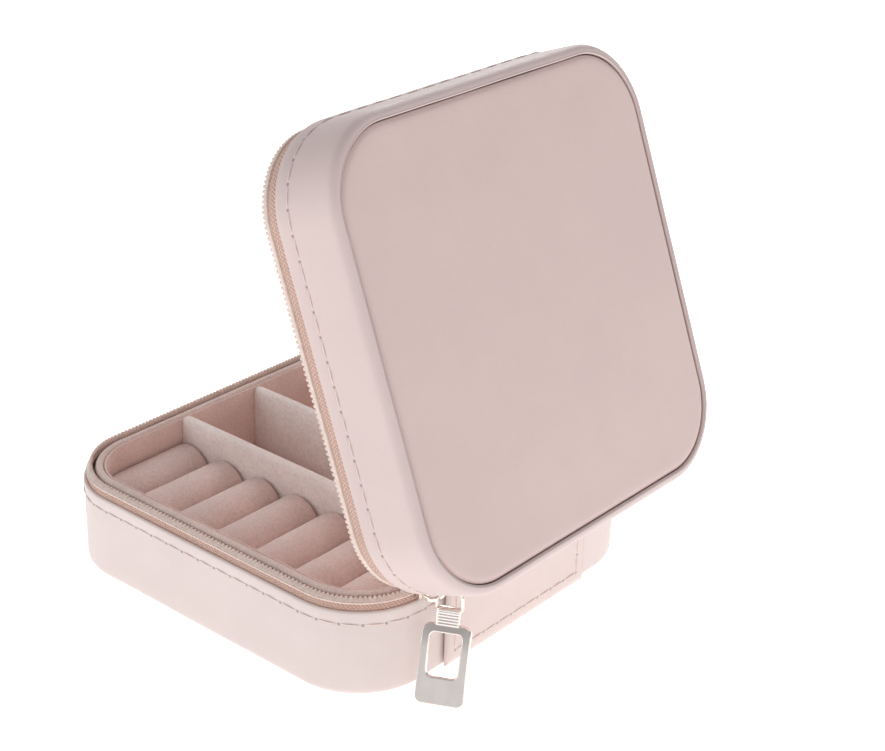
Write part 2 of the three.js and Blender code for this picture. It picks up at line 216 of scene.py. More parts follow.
class Builder:
    """Collects grids of points into one mesh."""

    def __init__(self):
        self.points, self.faces, self.uvs = [], [], []

    def grid(self, rows, us=None, vs=None, wrap_rows=False, wrap_columns=False, caps=False):
        first, height, width = len(self.points), len(rows), len(rows[0])
        us = us or list(range(height + 1))
        vs = vs or list(range(width + 1))
        for row in rows:
            self.points.extend(row)
        for i in range(height if wrap_rows else height - 1):
            for j in range(width if wrap_columns else width - 1):
                corners = ((i, j), (i, j + 1), (i + 1, j + 1), (i + 1, j))
                self.faces.append([first + (a % height) * width + b % width for a, b in corners])
                self.uvs.extend((us[a], vs[b]) for a, b in corners)
        for i in (0, height - 1) if caps else ():
            self.faces.append([first + i * width + j for j in range(width)])
            self.uvs.extend((us[i], vs[j]) for j in range(width))

    def fan(self, ring_start, count, centre):
        """Closes a ring of count points that starts at ring_start on a centre point."""
        tip = len(self.points)
        self.points.append(centre)
        for j in range(count):
            self.faces.append([ring_start + j, ring_start + (j + 1) % count, tip])
            self.uvs.extend([(0, 0)] * 3)

    def make(self, name, material, turn=None, smooth_angle=None):
        mesh = bpy.data.meshes.new(name)
        mesh.from_pydata([tuple(Vector(p) * MM) for p in self.points], [], self.faces)
        layer = mesh.uv_layers.new(name="Layout")
        layer.data.foreach_set("uv", [x for uv in self.uvs for x in uv])
        work = bmesh.new()
        work.from_mesh(mesh)
        bmesh.ops.recalc_face_normals(work, faces=work.faces)
        work.to_mesh(mesh)
        work.free()
        if turn:
            mesh.transform(Matrix.Scale(MM, 4) @ turn @ Matrix.Scale(1 / MM, 4))
        if smooth_angle is None:
            mesh.shade_smooth()
        else:
            mesh.set_sharp_from_angle(angle=math.radians(smooth_angle))
        mesh.materials.append(material)
        piece = bpy.data.objects.new(name, mesh)
        bpy.context.scene.collection.objects.link(piece)
        return piece


def rippled(s, offset, z, wobble, seed):
    """A point of a swept section, moved in or out by the surface's slow waviness."""
    point = place(s, offset, z)
    return point + station(s)[1] * wobble * soft_noise(point, 14.0, seed)


def sweep(name, material, profile, start=0.0, end=PERIMETER, step=1.6, turn=None, wobble=0.0, seed=0.0):
    """A closed section of (offset, z) points run round the outline, whole or from start to end. The
    section may be a function of the length round the outline."""
    whole = end - start >= PERIMETER - 1e-6
    stops = steps(start, end, step)
    section = profile if callable(profile) else lambda s: profile
    rows = [[rippled(s, offset, z, wobble, seed) for offset, z in section(s)]
            for s in (stops[:-1] if whole else stops)]
    builder = Builder()
    builder.grid(rows, stops, lengths(section(start), True), wrap_rows=whole, wrap_columns=True,
                 caps=not whole)
    return builder.make(name, material, turn)


def loft(name, material, rows, us=None, vs=None, turn=None, smooth_angle=None):
    """A closed piece through a row of closed sections, with flat ends."""
    builder = Builder()
    builder.grid(rows, us, vs, wrap_columns=True, caps=True)
    return builder.make(name, material, turn, smooth_angle)


def tube(builder, line, radii, sides, closed=False):
    """A round tube along a line of points, added to a builder."""
    rows = []
    for point, along, radius in zip(line, headings(line, closed), radii):
        guide = Vector((0, 0, 1)) if abs(along.z) < 0.9 else Vector((1, 0, 0))
        across = along.cross(guide).normalized()
        up = across.cross(along)
        rows.append([point + (across * math.cos(a) + up * math.sin(a)) * radius for a in angles(sides)])
    builder.grid(rows, lengths(line, closed), None, wrap_rows=closed, wrap_columns=True, caps=not closed)


def extrude_loop(builder, loops, thickness):
    """A flat plate between an outer and an inner loop with equal numbers of (x, y) points."""
    outer, inner = loops
    half = thickness / 2
    rows = [[Vector((x, y, z)) for x, y in loop]
            for loop, z in ((outer, half), (inner, half), (inner, -half), (outer, -half))]
    builder.grid(rows, None, None, wrap_rows=True, wrap_columns=True)


def rounded_rect(half_x, half_y, radius, count=10, lower_radius=None):
    """A rounded rectangle about the origin, counter-clockwise from the right."""
    low = radius if lower_radius is None else lower_radius
    corners = [(1, 1, radius, 0), (-1, 1, radius, 90), (-1, -1, low, 180), (1, -1, low, 270)]
    points = []
    for side_x, side_y, r, start in corners:
        centre = (side_x * (half_x - r), side_y * (half_y - r))
        points += arc(centre, r, start, start + 90, count)
    return points


def bevel(piece, width, segments=3, angle=30):
    modifier = piece.modifiers.new("Rounded edges", "BEVEL")
    modifier.width = width * MM
    modifier.segments = segments
    modifier.limit_method = "ANGLE"
    modifier.angle_limit = math.radians(angle)
    modifier.harden_normals = True
    return piece


# ---- Materials ----
class Nodes:
    """A node tree and short ways to add to it."""

    def __init__(self, tree):
        self.tree = tree

    def node(self, kind):
        return self.tree.nodes.new(kind)

    def link(self, source, target):
        self.tree.links.new(source, target)

    def put(self, target, value):
        if isinstance(value, bpy.types.NodeSocket):
            self.link(value, target)
        else:
            target.default_value = value

    def coordinates(self, kind="Object"):
        return self.node("ShaderNodeTexCoord").outputs[kind]

    def maths(self, operation, *values):
        node = self.node("ShaderNodeMath")
        node.operation = operation
        for target, value in zip(node.inputs, values):
            self.put(target, value)
        return node.outputs[0]

    def plus(self, first, second):
        return self.maths("ADD", first, second)

    def minus(self, first, second):
        return self.maths("SUBTRACT", first, second)

    def times(self, first, second):
        return self.maths("MULTIPLY", first, second)

    def fade(self, value, low, high, to_low=0.0, to_high=1.0, kind="SMOOTHSTEP"):
        node = self.node("ShaderNodeMapRange")
        node.interpolation_type = kind
        for target, given in zip(node.inputs, (value, low, high, to_low, to_high)):
            self.put(target, given)
        return node.outputs[0]

    def noise(self, scale, detail=3.0, rough=0.55, vector=None):
        node = self.node("ShaderNodeTexNoise")
        self.link(vector or self.coordinates(), node.inputs["Vector"])
        node.inputs["Scale"].default_value = scale
        node.inputs["Detail"].default_value = detail
        node.inputs["Roughness"].default_value = rough
        return node.outputs["Fac"]

    def cells(self, scale, feature="F1", vector=None):
        node = self.node("ShaderNodeTexVoronoi")
        node.feature = feature
        self.link(vector or self.coordinates(), node.inputs["Vector"])
        node.inputs["Scale"].default_value = scale
        return node.outputs["Distance"]

    def mix(self, factor, first, second):
        node = self.node("ShaderNodeMix")
        node.data_type = "RGBA"
        self.put(node.inputs["Factor"], factor)
        for target, value in ((node.inputs[6], first), (node.inputs[7], second)):
            self.put(target, value if isinstance(value, bpy.types.NodeSocket) else (*value, 1))
        return node.outputs[2]

    def tint(self, factor, base, dark, light):
        """A colour that runs from a darker to a lighter shade of a base."""
        return self.mix(factor, shade(base, dark), shade(base, light))


class Shader(Nodes):
    """A material with one Principled shader and short ways to feed it."""

    def __init__(self, name, color, roughness, metallic=0.0):
        self.material = bpy.data.materials.new(name)
        self.material.use_nodes = True
        super().__init__(self.material.node_tree)
        self.tree.nodes.clear()
        output = self.node("ShaderNodeOutputMaterial")
        self.bsdf = self.node("ShaderNodeBsdfPrincipled")
        self.link(self.bsdf.outputs["BSDF"], output.inputs["Surface"])
        self.bsdf.inputs["Base Color"].default_value = (*color, 1)
        self.bsdf.inputs["Roughness"].default_value = roughness
        self.bsdf.inputs["Metallic"].default_value = metallic

    def uv(self):
        """The layout's two coordinates, in millimetres along and across the piece, and both in one."""
        source = self.node("ShaderNodeUVMap")
        source.uv_map = "Layout"
        split = self.node("ShaderNodeSeparateXYZ")
        self.link(source.outputs["UV"], split.inputs[0])
        return split.outputs[0], split.outputs[1], source.outputs["UV"]

    def color(self, socket):
        self.link(socket, self.bsdf.inputs["Base Color"])

    def roughness(self, socket):
        self.link(socket, self.bsdf.inputs["Roughness"])

    def bump(self, height, depth, before=None):
        """Adds relief whose height runs from 0 to 1 over a depth in millimetres."""
        node = self.node("ShaderNodeBump")
        self.put(node.inputs["Height"], height)
        node.inputs["Strength"].default_value = 1.0
        node.inputs["Distance"].default_value = depth * MM
        if before:
            self.link(before, node.inputs["Normal"])
        self.link(node.outputs["Normal"], self.bsdf.inputs["Normal"])
        return node.outputs["Normal"]


def shade(color, factor):
    return tuple(min(1.0, c * factor) for c in color)


BLUSH = (0.76, 0.64, 0.605)
# The base's, the lid's and the face's leather is one leather in lit and shaded tones: painted light on the
# base's side, painted shade on the lid's side and on its face.
BLUSH_BASE_PAINTED_LIGHT = (0.76, 0.655, 0.627)
BLUSH_LID_PAINTED_SHADE = (0.725, 0.588, 0.566)
BLUSH_FACE_PAINTED_SHADE = (0.738, 0.572, 0.54)
VELVET = (0.88, 0.655, 0.60)
VELVET_ROLL = (0.84, 0.65, 0.605)
# The dividers' velvet is the tray's cloth painted lighter, as painted light for the light falling on their
# faces.
VELVET_WALL_PAINTED_LIGHT = (0.98, 0.83, 0.785)
RIM = (0.80, 0.635, 0.585)
PEACH = (0.76, 0.50, 0.41)
NYLON = (0.83, 0.66, 0.59)
# The thread's colour is painted light: it is lighter than the real thread, which is a little darker than
# the leather, to make up for the shade on its thin strands.
THREAD_PAINTED_LIGHT = (0.88, 0.73, 0.69)
SILVER = (0.90, 0.835, 0.79)
BOARD = (0.47, 0.39, 0.31)


def needle_hole(shader, along, across):
    """1 in a needle hole and 0 away from it, from the two distances to the hole's middle. It sinks the hole
    and paints shade into it.
    """
    square = shader.plus(shader.times(along, along), shader.times(across, across))
    return shader.fade(shader.maths("SQRT", square), HOLE_RADIUS * 0.55, HOLE_RADIUS * 1.5, 1.0, 0.0)


def leather_shader(name, base, flat=False):
    """Smooth artificial leather: a fine printed grain with painted shade in its creases, and faint
    mottling. Gives the shader, its colour and its relief, for stitch rows to be added."""
    shader = Shader(name, base, 0.45)
    source = shader.uv()[2] if flat else shader.coordinates()
    scale = MM if flat else 1.0
    mottle = shader.noise(38.0 * scale, 4.0, 0.6, source)
    fine = shader.noise(420.0 * scale, 3.0, 0.6, source)
    crease = shader.fade(shader.cells(1900.0 * scale, "DISTANCE_TO_EDGE", source), 0.0, 0.22)
    mottle_and_rib_shade = shader.tint(shader.fade(mottle, 0.32, 0.72), base, 0.972, 1.02)
    # Painted shade in the grain's creases, where the relief below is lowest.
    crease_shade = shader.times(shader.minus(1.0, crease), 0.10)
    tinted = shader.mix(crease_shade, mottle_and_rib_shade, shade(base, 0.80))
    relief = shader.plus(shader.times(crease, 0.6), shader.times(fine, 0.8))
    normal = shader.bump(relief, 0.016)
    shader.color(tinted)
    shader.roughness(shader.fade(shader.plus(mottle, fine), 0.6, 1.4, 0.40, 0.53))
    shader.bsdf.inputs["Specular IOR Level"].default_value = 0.42
    return shader, tinted, normal


def leather_material(name, base, row=None):
    """Leather for a cover, with a pulled-in row of needle holes where its layout reaches row, and painted
    shade along the row and in the holes.
    """
    shader, tinted, normal = leather_shader(name, base)
    if row is not None:
        u, v, _ = shader.uv()
        across = shader.maths("ABSOLUTE", shader.minus(v, row))
        hole = needle_hole(shader, shader.maths("PINGPONG", u, EVEN_PITCH / 2), across)
        groove = shader.fade(across, 0.0, 0.75, 1.0, 0.0)
        # Painted shade along the stitch row's groove, then painted shade in the needle holes.
        tinted = shader.mix(shader.times(groove, 0.10), tinted, shade(base, 0.66))
        tinted = shader.mix(shader.times(hole, HOLE_PAINTED_SHADE), tinted, shade(base, 0.2))
        sunk = shader.plus(shader.times(groove, 0.5), hole)
        shader.bump(shader.minus(1.0, sunk), 0.10, normal)
        shader.color(tinted)
    return shader.material


def velvet_material(name, base, depth=0.14, sheen=0.30):
    """Short-pile velvet: a soft sheen, brushed patches and a fine speckle of pile."""
    shader = Shader(name, base, 0.96)
    patches = shader.noise(70.0, 4.0, 0.6)
    pile = shader.noise(1500.0, 3.0, 0.65)
    tufts = shader.noise(3000.0, 2.0, 0.7)
    brushed = shader.tint(shader.fade(patches, 0.34, 0.70), base, 0.93, 1.06)
    speckled = shader.mix(shader.fade(pile, 0.42, 0.62, 0.0, 0.42), brushed, shade(base, 0.70))
    shader.color(shader.mix(shader.fade(tufts, 0.50, 0.70, 0.0, 0.45), speckled, shade(base, 1.35)))
    height = shader.plus(pile, shader.times(tufts, 0.6))
    shader.bump(height, depth)
    shader.bsdf.inputs["Sheen Weight"].default_value = sheen
    shader.bsdf.inputs["Sheen Roughness"].default_value = 0.45
    shader.bsdf.inputs["Sheen Tint"].default_value = (1.0, 0.90, 0.87, 1)
    shader.bsdf.inputs["Specular IOR Level"].default_value = 0.15
    return shader.material


def tape_material():
    """Woven zip tape: zigzag ribs that run along the tape, with painted light on the ribs and painted shade
    between them.
    """
    shader = Shader("Zip tape", PEACH, 0.82)
    u, v, _ = shader.uv()
    zigzag = shader.times(shader.maths("PINGPONG", v, 0.85), 1.1)
    phase = shader.times(shader.plus(u, zigzag), 7.0)
    rib = shader.fade(shader.maths("SINE", phase), -0.7, 0.7)
    yarn = shader.fade(shader.maths("SINE", shader.times(v, 22.0)), -1.0, 1.0)
    # Painted light on the ribs and painted shade in the hollows between them.
    mottle_and_rib_shade = shader.tint(rib, PEACH, 0.72, 1.16)
    faded = shader.times(shader.noise(260.0), 0.25)
    shader.color(shader.mix(faded, mottle_and_rib_shade, shade(PEACH, 0.86)))
    shader.bump(shader.plus(rib, shader.times(yarn, 0.3)), 0.14)
    shader.bsdf.inputs["Sheen Weight"].default_value = 0.2
    return shader.material


def nylon_material():
    """Moulded nylon filament, slightly translucent."""
    shader = Shader("Zip nylon", NYLON, 0.38)
    patches = shader.noise(900.0, 2.0)
    shader.color(shader.tint(shader.fade(patches, 0.3, 0.7), NYLON, 0.93, 1.06))
    shader.bump(shader.noise(5200.0, 2.0), 0.02)
    shader.bsdf.inputs["Subsurface Weight"].default_value = 0.12
    shader.bsdf.inputs["Subsurface Scale"].default_value = 0.0006
    return shader.material


def thread_material():
    """Twisted sewing thread, painted lighter than its own colour, with painted shade and light along the
    twist.
    """
    shader = Shader("Sewing thread", THREAD_PAINTED_LIGHT, 0.62)
    u, v, _ = shader.uv()
    turned = shader.times(v, 0.8)
    twist = shader.maths("SINE", shader.plus(shader.times(u, 16.0), turned))
    # Painted shade in the twist's grooves and painted light on its strands.
    shader.color(shader.tint(shader.fade(twist, -1.0, 1.0), THREAD_PAINTED_LIGHT, 0.88, 1.08))
    shader.bump(twist, 0.03)
    return shader.material


def metal_material(name, roughness, brushed):
    """Nickel-plated metal with fine handling marks."""
    shader = Shader(name, SILVER, roughness, 1.0)
    stretched = shader.node("ShaderNodeMapping")
    stretched.inputs["Scale"].default_value = (1.0, 1.0, 0.08)
    shader.link(shader.coordinates(), stretched.inputs["Vector"])
    marks = shader.noise(2400.0, 3.0, 0.6, stretched.outputs[0])
    clouds = shader.noise(160.0, 3.0, 0.6)
    shader.roughness(shader.fade(clouds, 0.3, 0.7, roughness * 0.8, roughness * 1.35))
    shader.color(shader.mix(shader.fade(clouds, 0.35, 0.7), shade(SILVER, 0.94), SILVER))
    shader.bump(marks, brushed)
    return shader.material


def board_material():
    """Grey pulp board."""
    shader = Shader("Pulp board", BOARD, 0.9)
    fibres = shader.noise(700.0, 4.0, 0.7)
    shader.color(shader.tint(fibres, BOARD, 0.8, 1.2))
    shader.bump(fibres, 0.08)
    return shader.material


def foam_material():
    """Open-cell foam, with painted shade in its pores."""
    color = (0.84, 0.80, 0.74)
    shader = Shader("Foam", color, 0.95)
    cells = shader.cells(2600.0)
    # Painted shade in the pores, where the bump is lowest.
    shader.color(shader.mix(shader.fade(cells, 0.1, 0.6), shade(color, 0.75), color))
    shader.bump(cells, 0.15)
    return shader.material


def elastic_material():
    """Knitted elastic with ribs across it, with painted shade between the ribs."""
    color = shade(VELVET, 1.1)
    shader = Shader("Elastic", color, 0.75)
    u, v, _ = shader.uv()
    rib = shader.fade(shader.maths("SINE", shader.times(u, 9.0)), -0.8, 0.8)
    knit = shader.fade(shader.maths("SINE", shader.times(v, 14.0)), -0.8, 0.8)
    # Painted shade between the ribs and painted light on them.
    shader.color(shader.tint(rib, color, 0.82, 1.08))
    shader.bump(shader.plus(rib, shader.times(knit, 0.4)), 0.10)
    return shader.material


# ---- Where the sections lie ----
def base_cover_section():
    """The base's leather from the underside up the outside, over the folded edge and back down."""
    top = BASE_COVER_TOP
    outside = arc((EDGE_RADIUS, EDGE_RADIUS), EDGE_RADIUS, 270, 180, 8)
    outside += [(0.0, 6.0), (0.0, 10.0), (-0.02, 14.0), (0.02, BASE_STITCH_Z - 1.0)]
    outside += [(STITCH_HOLLOW, BASE_STITCH_Z), (0.0, BASE_STITCH_Z + 0.9), (-0.10, top - 1.4)]
    fold = arc((FOLD_RADIUS - FOLD_PROUD, top - FOLD_RADIUS), FOLD_RADIUS, 180, 0, 8)
    inside = [(LEATHER, top - 2.0), (LEATHER, 8.0)]
    inside += arc((EDGE_RADIUS, EDGE_RADIUS), EDGE_RADIUS - LEATHER, 180, 270, 5)
    return outside + fold + inside


def lid_cover_section():
    """The lid's leather from the folded edge up the outside and over the rolled rim to the seam."""
    low, high = LID_EDGE, LID_TOP - EDGE_RADIUS
    fold = arc((FOLD_RADIUS - FOLD_PROUD, low + FOLD_RADIUS), FOLD_RADIUS, 0, -180, 8)
    outside = [(-0.10, low + 1.6), (-0.02, LID_STITCH_Z - 1.0), (STITCH_HOLLOW, LID_STITCH_Z)]
    outside += [(0.02, LID_STITCH_Z + 1.0), (0.0, LID_MIDDLE), (0.0, high - 1.0)]
    rim = arc((EDGE_RADIUS, high), EDGE_RADIUS, 180, 90, 10)
    lip = arc((EDGE_RADIUS, LID_TOP - 0.35), 0.35, 90, 0, 3)
    inside = [(EDGE_RADIUS + 0.35, LID_TOP - 1.1), (EDGE_RADIUS, LID_TOP - LEATHER)]
    inside += arc((EDGE_RADIUS, high), EDGE_RADIUS - LEATHER, 90, 180, 6)
    return fold + outside + rim + lip + inside + [(LEATHER, LID_MIDDLE), (LEATHER, low + 1.2)]


def row_v(section, z):
    """Length along a section, up its outside, at which it passes height z."""
    run = lengths(section)
    for (a, b), (start, end) in zip(zip(section, section[1:]), zip(run, run[1:])):
        low, high = sorted((a[1], b[1]))
        if max(a[0], b[0]) < 0.5 and low <= z <= high and high > low:
            share = (z - a[1]) / (b[1] - a[1])
            return start + (end - start) * share
    raise ValueError("the section doesn't pass that height")


BASE_SECTION = base_cover_section()
LID_SECTION = lid_cover_section()

# Painted light in the base's leather, painted shade in the lid's and its face's.
leather_base = leather_material("Leather, base", BLUSH_BASE_PAINTED_LIGHT, row_v(BASE_SECTION, BASE_STITCH_Z))
leather_lid = leather_material("Leather, lid", BLUSH_LID_PAINTED_SHADE, row_v(LID_SECTION, LID_STITCH_Z))
leather_plain = leather_material("Leather, plain", BLUSH)
leather_face = leather_material("Leather, lid face", BLUSH_FACE_PAINTED_SHADE)
velvet = velvet_material("Velvet", VELVET)
velvet_roll = velvet_material("Velvet, rolls", VELVET_ROLL)
# Painted light on the dividers' velvet.
velvet_wall = velvet_material("Velvet, dividers", VELVET_WALL_PAINTED_LIGHT)
velvet_rim = velvet_material("Velvet, rim", RIM, 0.05, 0.10)
tape = tape_material()
nylon = nylon_material()
thread = thread_material()
polished = metal_material("Polished nickel", 0.10, 0.004)
satin = metal_material("Satin nickel", 0.24, 0.012)
board = board_material()
foam = foam_material()
elastic = elastic_material()


# ---- Stitching ----
def stitch(builder, surface, start, end, slant=0.10):
    """One stitch: a thread that comes out of one needle hole and dips into the next. surface(t)
    gives the point, the outward normal and the sideways direction at a length along the row."""
    line, radii = [], []
    for k in range(7):
        t = k / 6
        point, normal, side = surface(start + (end - start) * t)
        arch = math.sin(math.pi * t)
        lift = STITCH_HEIGHT * arch ** 0.6 - STITCH_DIP
        line.append(point + normal * lift + side * slant * (2 * t - 1))
        radii.append(THREAD_RADIUS * (0.75 + 0.25 * arch))
    tube(builder, line, radii, 6)


def stitches(builder, surface, start, end, pitch):
    """A row of stitches, one to each pitch."""
    for i in range(round((end - start) / pitch)):
        begin = start + i * pitch
        stitch(builder, surface, begin + STITCH_GAP, begin + pitch - STITCH_GAP)


def cover_stitches(name, z, seed, turn=None):
    """The row of stitches round a cover at a height."""
    def surface(s):
        return rippled(s, STITCH_HOLLOW, z, COVER_WOBBLE, seed), station(s)[1], Vector((0, 0, 1))

    builder = Builder()
    stitches(builder, surface, 0.0, PERIMETER, EVEN_PITCH)
    return builder.make(name, thread, turn)


def cover_stitching():
    base = cover_stitches("base_stitching", BASE_STITCH_Z, BASE_SEED)
    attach(base, "base")
    lid = cover_stitches("lid_stitching", LID_STITCH_Z, LID_SEED, LID_TURN)
    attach(lid, "lid")


# ---- Leather covers ----
def covers():
    base = sweep("base_leather", leather_base, BASE_SECTION, wobble=COVER_WOBBLE, seed=BASE_SEED)
    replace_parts(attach(base, "base"), "base_side_cover")
    lid = sweep("lid_leather", leather_lid, LID_SECTION, turn=LID_TURN, wobble=COVER_WOBBLE,
                seed=LID_SEED)
    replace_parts(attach(lid, "lid"), "lid_side_cover")


def ring_rows(first_offset, heights):
    """Rings of points that shrink from an offset of the outline to its middle. heights is a list of
    (distance in from the first ring, z)."""
    stops = steps(0.0, PERIMETER, 1.8)[:-1]
    straight_in = CORNER_RADIUS - first_offset - 3.0
    rows = []
    for depth, z in heights:
        offset = first_offset + min(depth, straight_in)
        size = HALF - first_offset
        shrink = max(0.0, (size - depth) / (size - straight_in)) if depth > straight_in else 1.0
        row = [place(s, offset, z) for s in stops]
        rows.append([Vector((p.x * shrink, p.y * shrink, z)) for p in row])
    return rows, stops


def face_panel():
    """The padded leather panel on the lid, let in behind the rolled rim."""
    top = LID_TOP + 0.05
    edge = 2.56
    low = LID_TOP - 1.3
    heights = [(1.6, low + 0.2), (0.5, low), (0.0, low + 0.2), (0.0, LID_TOP - 0.62)]
    heights += [(0.10 + 1.1 * t, LID_TOP - 0.62 + 0.62 * math.sin(math.pi / 2 * t))
                for t in (0.2, 0.45, 0.7, 1.0)]
    heights += [(d, top + 0.55 * smoothstep(0.0, 26.0, d))
                for d in (2.0, 3.2, 5.0, 8.0, 11.5, 14.9, 19.0, 24.0, 30.0, 36.0, 42.0)]
    rows, _ = ring_rows(edge, heights)
    for row in rows[6:]:
        for p in row:
            p.z += 0.10 * soft_noise(p, 24.0, 9.0) + 0.03 * soft_noise(p, 7.0, 4.0)
    builder = Builder()
    builder.grid(rows, None, None, wrap_columns=True)
    count = len(rows[0])
    builder.fan((len(rows) - 1) * count, count, Vector((0, 0, top + 0.56)))
    builder.fan(0, count, Vector((0, 0, low + 0.2)))
    piece = builder.make("lid_face", leather_face, LID_TURN)
    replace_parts(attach(piece, "lid"), "lid_face_panel")


# ---- Zip ----
class Coil:
    """Where a row of teeth lies in the section: its middle, the way its teeth point, the side that
    faces out of the box, and its two half sizes."""

    def __init__(self, middle, direction, half_length, half_height=0.46):
        self.middle = Vector(middle)
        self.along = Vector(direction).normalized()
        crosswise = Vector((-self.along.y, self.along.x))
        self.out = crosswise if crosswise.x < 0 else -crosswise
        self.half_length = half_length
        self.half_height = half_height

    def at(self, reach, rise):
        """A point at shares of the two half sizes from the middle."""
        return self.middle + self.along * reach * self.half_length + self.out * rise * self.half_height


FIRST_CORNER = SIDE                       # where the corners begin, round the outline
FRONT_CORNER = FIRST_CORNER + QUARTER + 2 * SIDE


def base_coil(s):
    """On the pull's side the zip has folded in over the rim; round the front it stands up."""
    upright = smoothstep(FRONT_CORNER + 2.0, FRONT_CORNER + QUARTER, s)
    upright = max(upright, 1 - smoothstep(ZIP_END, ZIP_END + 6.0, s))
    middle = Vector((1.45, ZIP_PLANE - 0.82)).lerp(Vector((1.32, ZIP_PLANE - 0.42)), upright)
    direction = Vector((0.78, 0.62)).lerp(Vector((0.04, 1.0)), upright)
    return Coil(middle, direction, 0.98 + 0.14 * upright)


def lid_coil(s):
    """The lid's half hangs straight down, the same at every s."""
    return Coil((1.50, ZIP_PLANE + 1.86), (0.08, -1.0), 1.04)


def tooth(builder, s, coil, pitch):
    """One turn of the coil: a narrow loop with a fuller head where it locks."""
    _, _, travel = station(s)
    rings = 8
    rows = []
    for i in range(rings + 1):
        t = i / rings
        head = smoothstep(0.55, 0.92, t)
        end = math.sqrt(max(0.02, 1 - (2 * t - 1) ** 6))
        wide = pitch * (0.42 + 0.03 * head) * end * (1 - 0.40 * smoothstep(0.80, 1.0, t))
        tall = (0.90 + 0.10 * head) * end
        row = []
        for a in angles(8):
            flat = coil.at(2 * t - 1, tall * math.sin(a))
            row.append(place(s, flat.x, flat.y) + travel * (wide * math.cos(a) + 0.20 * (t - 0.5)))
        rows.append(row)
    builder.grid(rows, None, None, wrap_columns=True, caps=True)


def core_section(coil):
    """The cord that fills the inside of the coil."""
    low, high = -0.92, 0.50
    middle, half = (low + high) / 2, (high - low) / 2
    return [tuple(coil.at(middle + half * math.cos(a), 0.86 * math.sin(a))) for a in angles(14)]


def teeth_row(name, coil_at, start, end, body, node, turn=None):
    """All the teeth of one half of the zip, with the cord inside them."""
    builder = Builder()
    count = round((end - start) / COIL_PITCH)
    pitch = (end - start) / count
    for i in range(count):
        s = start + (i + 0.5) * pitch
        tooth(builder, s, coil_at(s), pitch)
    stops = steps(start, end, 1.1)
    rows = [[place(s, offset, z) for offset, z in core_section(coil_at(s))] for s in stops]
    builder.grid(rows, stops, None, wrap_columns=True, caps=True)
    piece = builder.make(name, nylon, turn)
    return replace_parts(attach(piece, body), node)


def banded(line, thickness):
    """A closed section of even thickness about a line of (offset, z) points."""
    left, right = [], []
    for point, along in zip(line, headings(line)):
        side = Vector((-along.y, along.x)) * thickness / 2
        left.append(tuple(Vector(point) + side))
        right.append(tuple(Vector(point) - side))
    return left + right[::-1]


def base_tape_line(s):
    top = BASE_COVER_TOP
    coil = base_coil(s)
    root = coil.at(-0.30, -1.25)
    low = coil.at(-0.95, -1.15)
    bulge = 0.92 + 0.10 * (1.45 - coil.middle.x)
    halfway = (Vector((bulge, top + 0.5)) + low) / 2
    return [(1.50, top - 8.0), (1.42, top - 3.6), (1.36, top - 1.4), (1.12, top - 0.3),
            (bulge, top + 0.5), tuple(halfway), tuple(low), tuple(root)]


def lid_tape_line(s):
    coil = lid_coil(s)
    root = coil.at(0.10, -1.10)
    return [(1.50, LID_EDGE + 6.0), (1.42, LID_EDGE + 2.4), (1.36, LID_EDGE + 0.6),
            (1.26, LID_EDGE - 0.5), (1.22, LID_EDGE - 1.6), (1.36, LID_EDGE - 2.7),
            (1.72, coil.middle.y + 0.8), tuple(root)]


def zip_tapes(start, end):
    for name, line, body, node, turn, teeth in (
            ("base_tape", base_tape_line, "base", "base_zip_tape", None, "base_teeth"),
            ("lid_tape", lid_tape_line, "lid", "lid_zip_tape", LID_TURN, "lid_teeth")):
        piece = sweep(name, tape, lambda s: banded(line(s), TAPE_THICKNESS), start, end, 1.2, turn)
        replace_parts(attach(piece, body), node)
        height = lengths(line(start))[-1]


def coil_seam(name, coil_at, reach, rise, body, start, end, turn=None):
    """The chain of sewing thread that holds the coil on its tape."""
    builder = Builder()
    line, radii = [], []
    for s in steps(start, end, 0.28):
        flat = coil_at(s).at(reach, rise)
        line.append(place(s, flat.x, flat.y))
        radii.append(0.17 + 0.045 * math.sin(2 * math.pi * s / COIL_PITCH))
    tube(builder, line, radii, 6)
    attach(builder.make(name, nylon, turn), body)


def zip_halves():
    start, end = ZIP_END, PERIMETER - ZIP_END
    teeth_row("base_teeth", base_coil, start, end, "base", "base_zip_teeth")
    teeth_row("lid_teeth", lid_coil, start, end, "lid", "lid_zip_teeth", LID_TURN)
    zip_tapes(start, end)
    coil_seam("base_coil_seam", base_coil, -0.72, 0.62, "base", start, end)
    coil_seam("lid_coil_seam", lid_coil, -0.72, 0.62, "lid", start, end, LID_TURN)


# ---- Velvet ----
def rounded_wall(outer, inner, foot, edge, count):
    """The section of a wall between two offsets, from its foot to a rounded edge, which may be above
    the foot or below it."""
    middle, radius = (outer + inner) / 2, (inner - outer) / 2
    if edge > foot:
        rounded = arc((middle, edge - radius), radius, 180, 0, count)
    else:
        rounded = arc((middle, edge + radius), radius, 180, 360, count)
    return [(outer, foot)] + rounded + [(inner, foot)]


def rim_beads():
    """The rounded, covered edges of the base's wall and the lid's, between the zip and the velvet."""
    section = rounded_wall(RIM_OUTER, RIM_INNER, BASE_COVER_TOP - 0.15, TRAY_RIM + 0.15, 10)
    piece = sweep("base_rim", velvet_rim, section, wobble=0.08, seed=3.0)
    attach(piece, "base")
    section = rounded_wall(RIM_OUTER, RIM_INNER, LID_EDGE + 0.15, LID_RIM - 0.15, 10)
    piece = sweep("lid_rim", velvet_rim, section, turn=LID_TURN, wobble=0.08, seed=6.0)
    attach(piece, "lid")


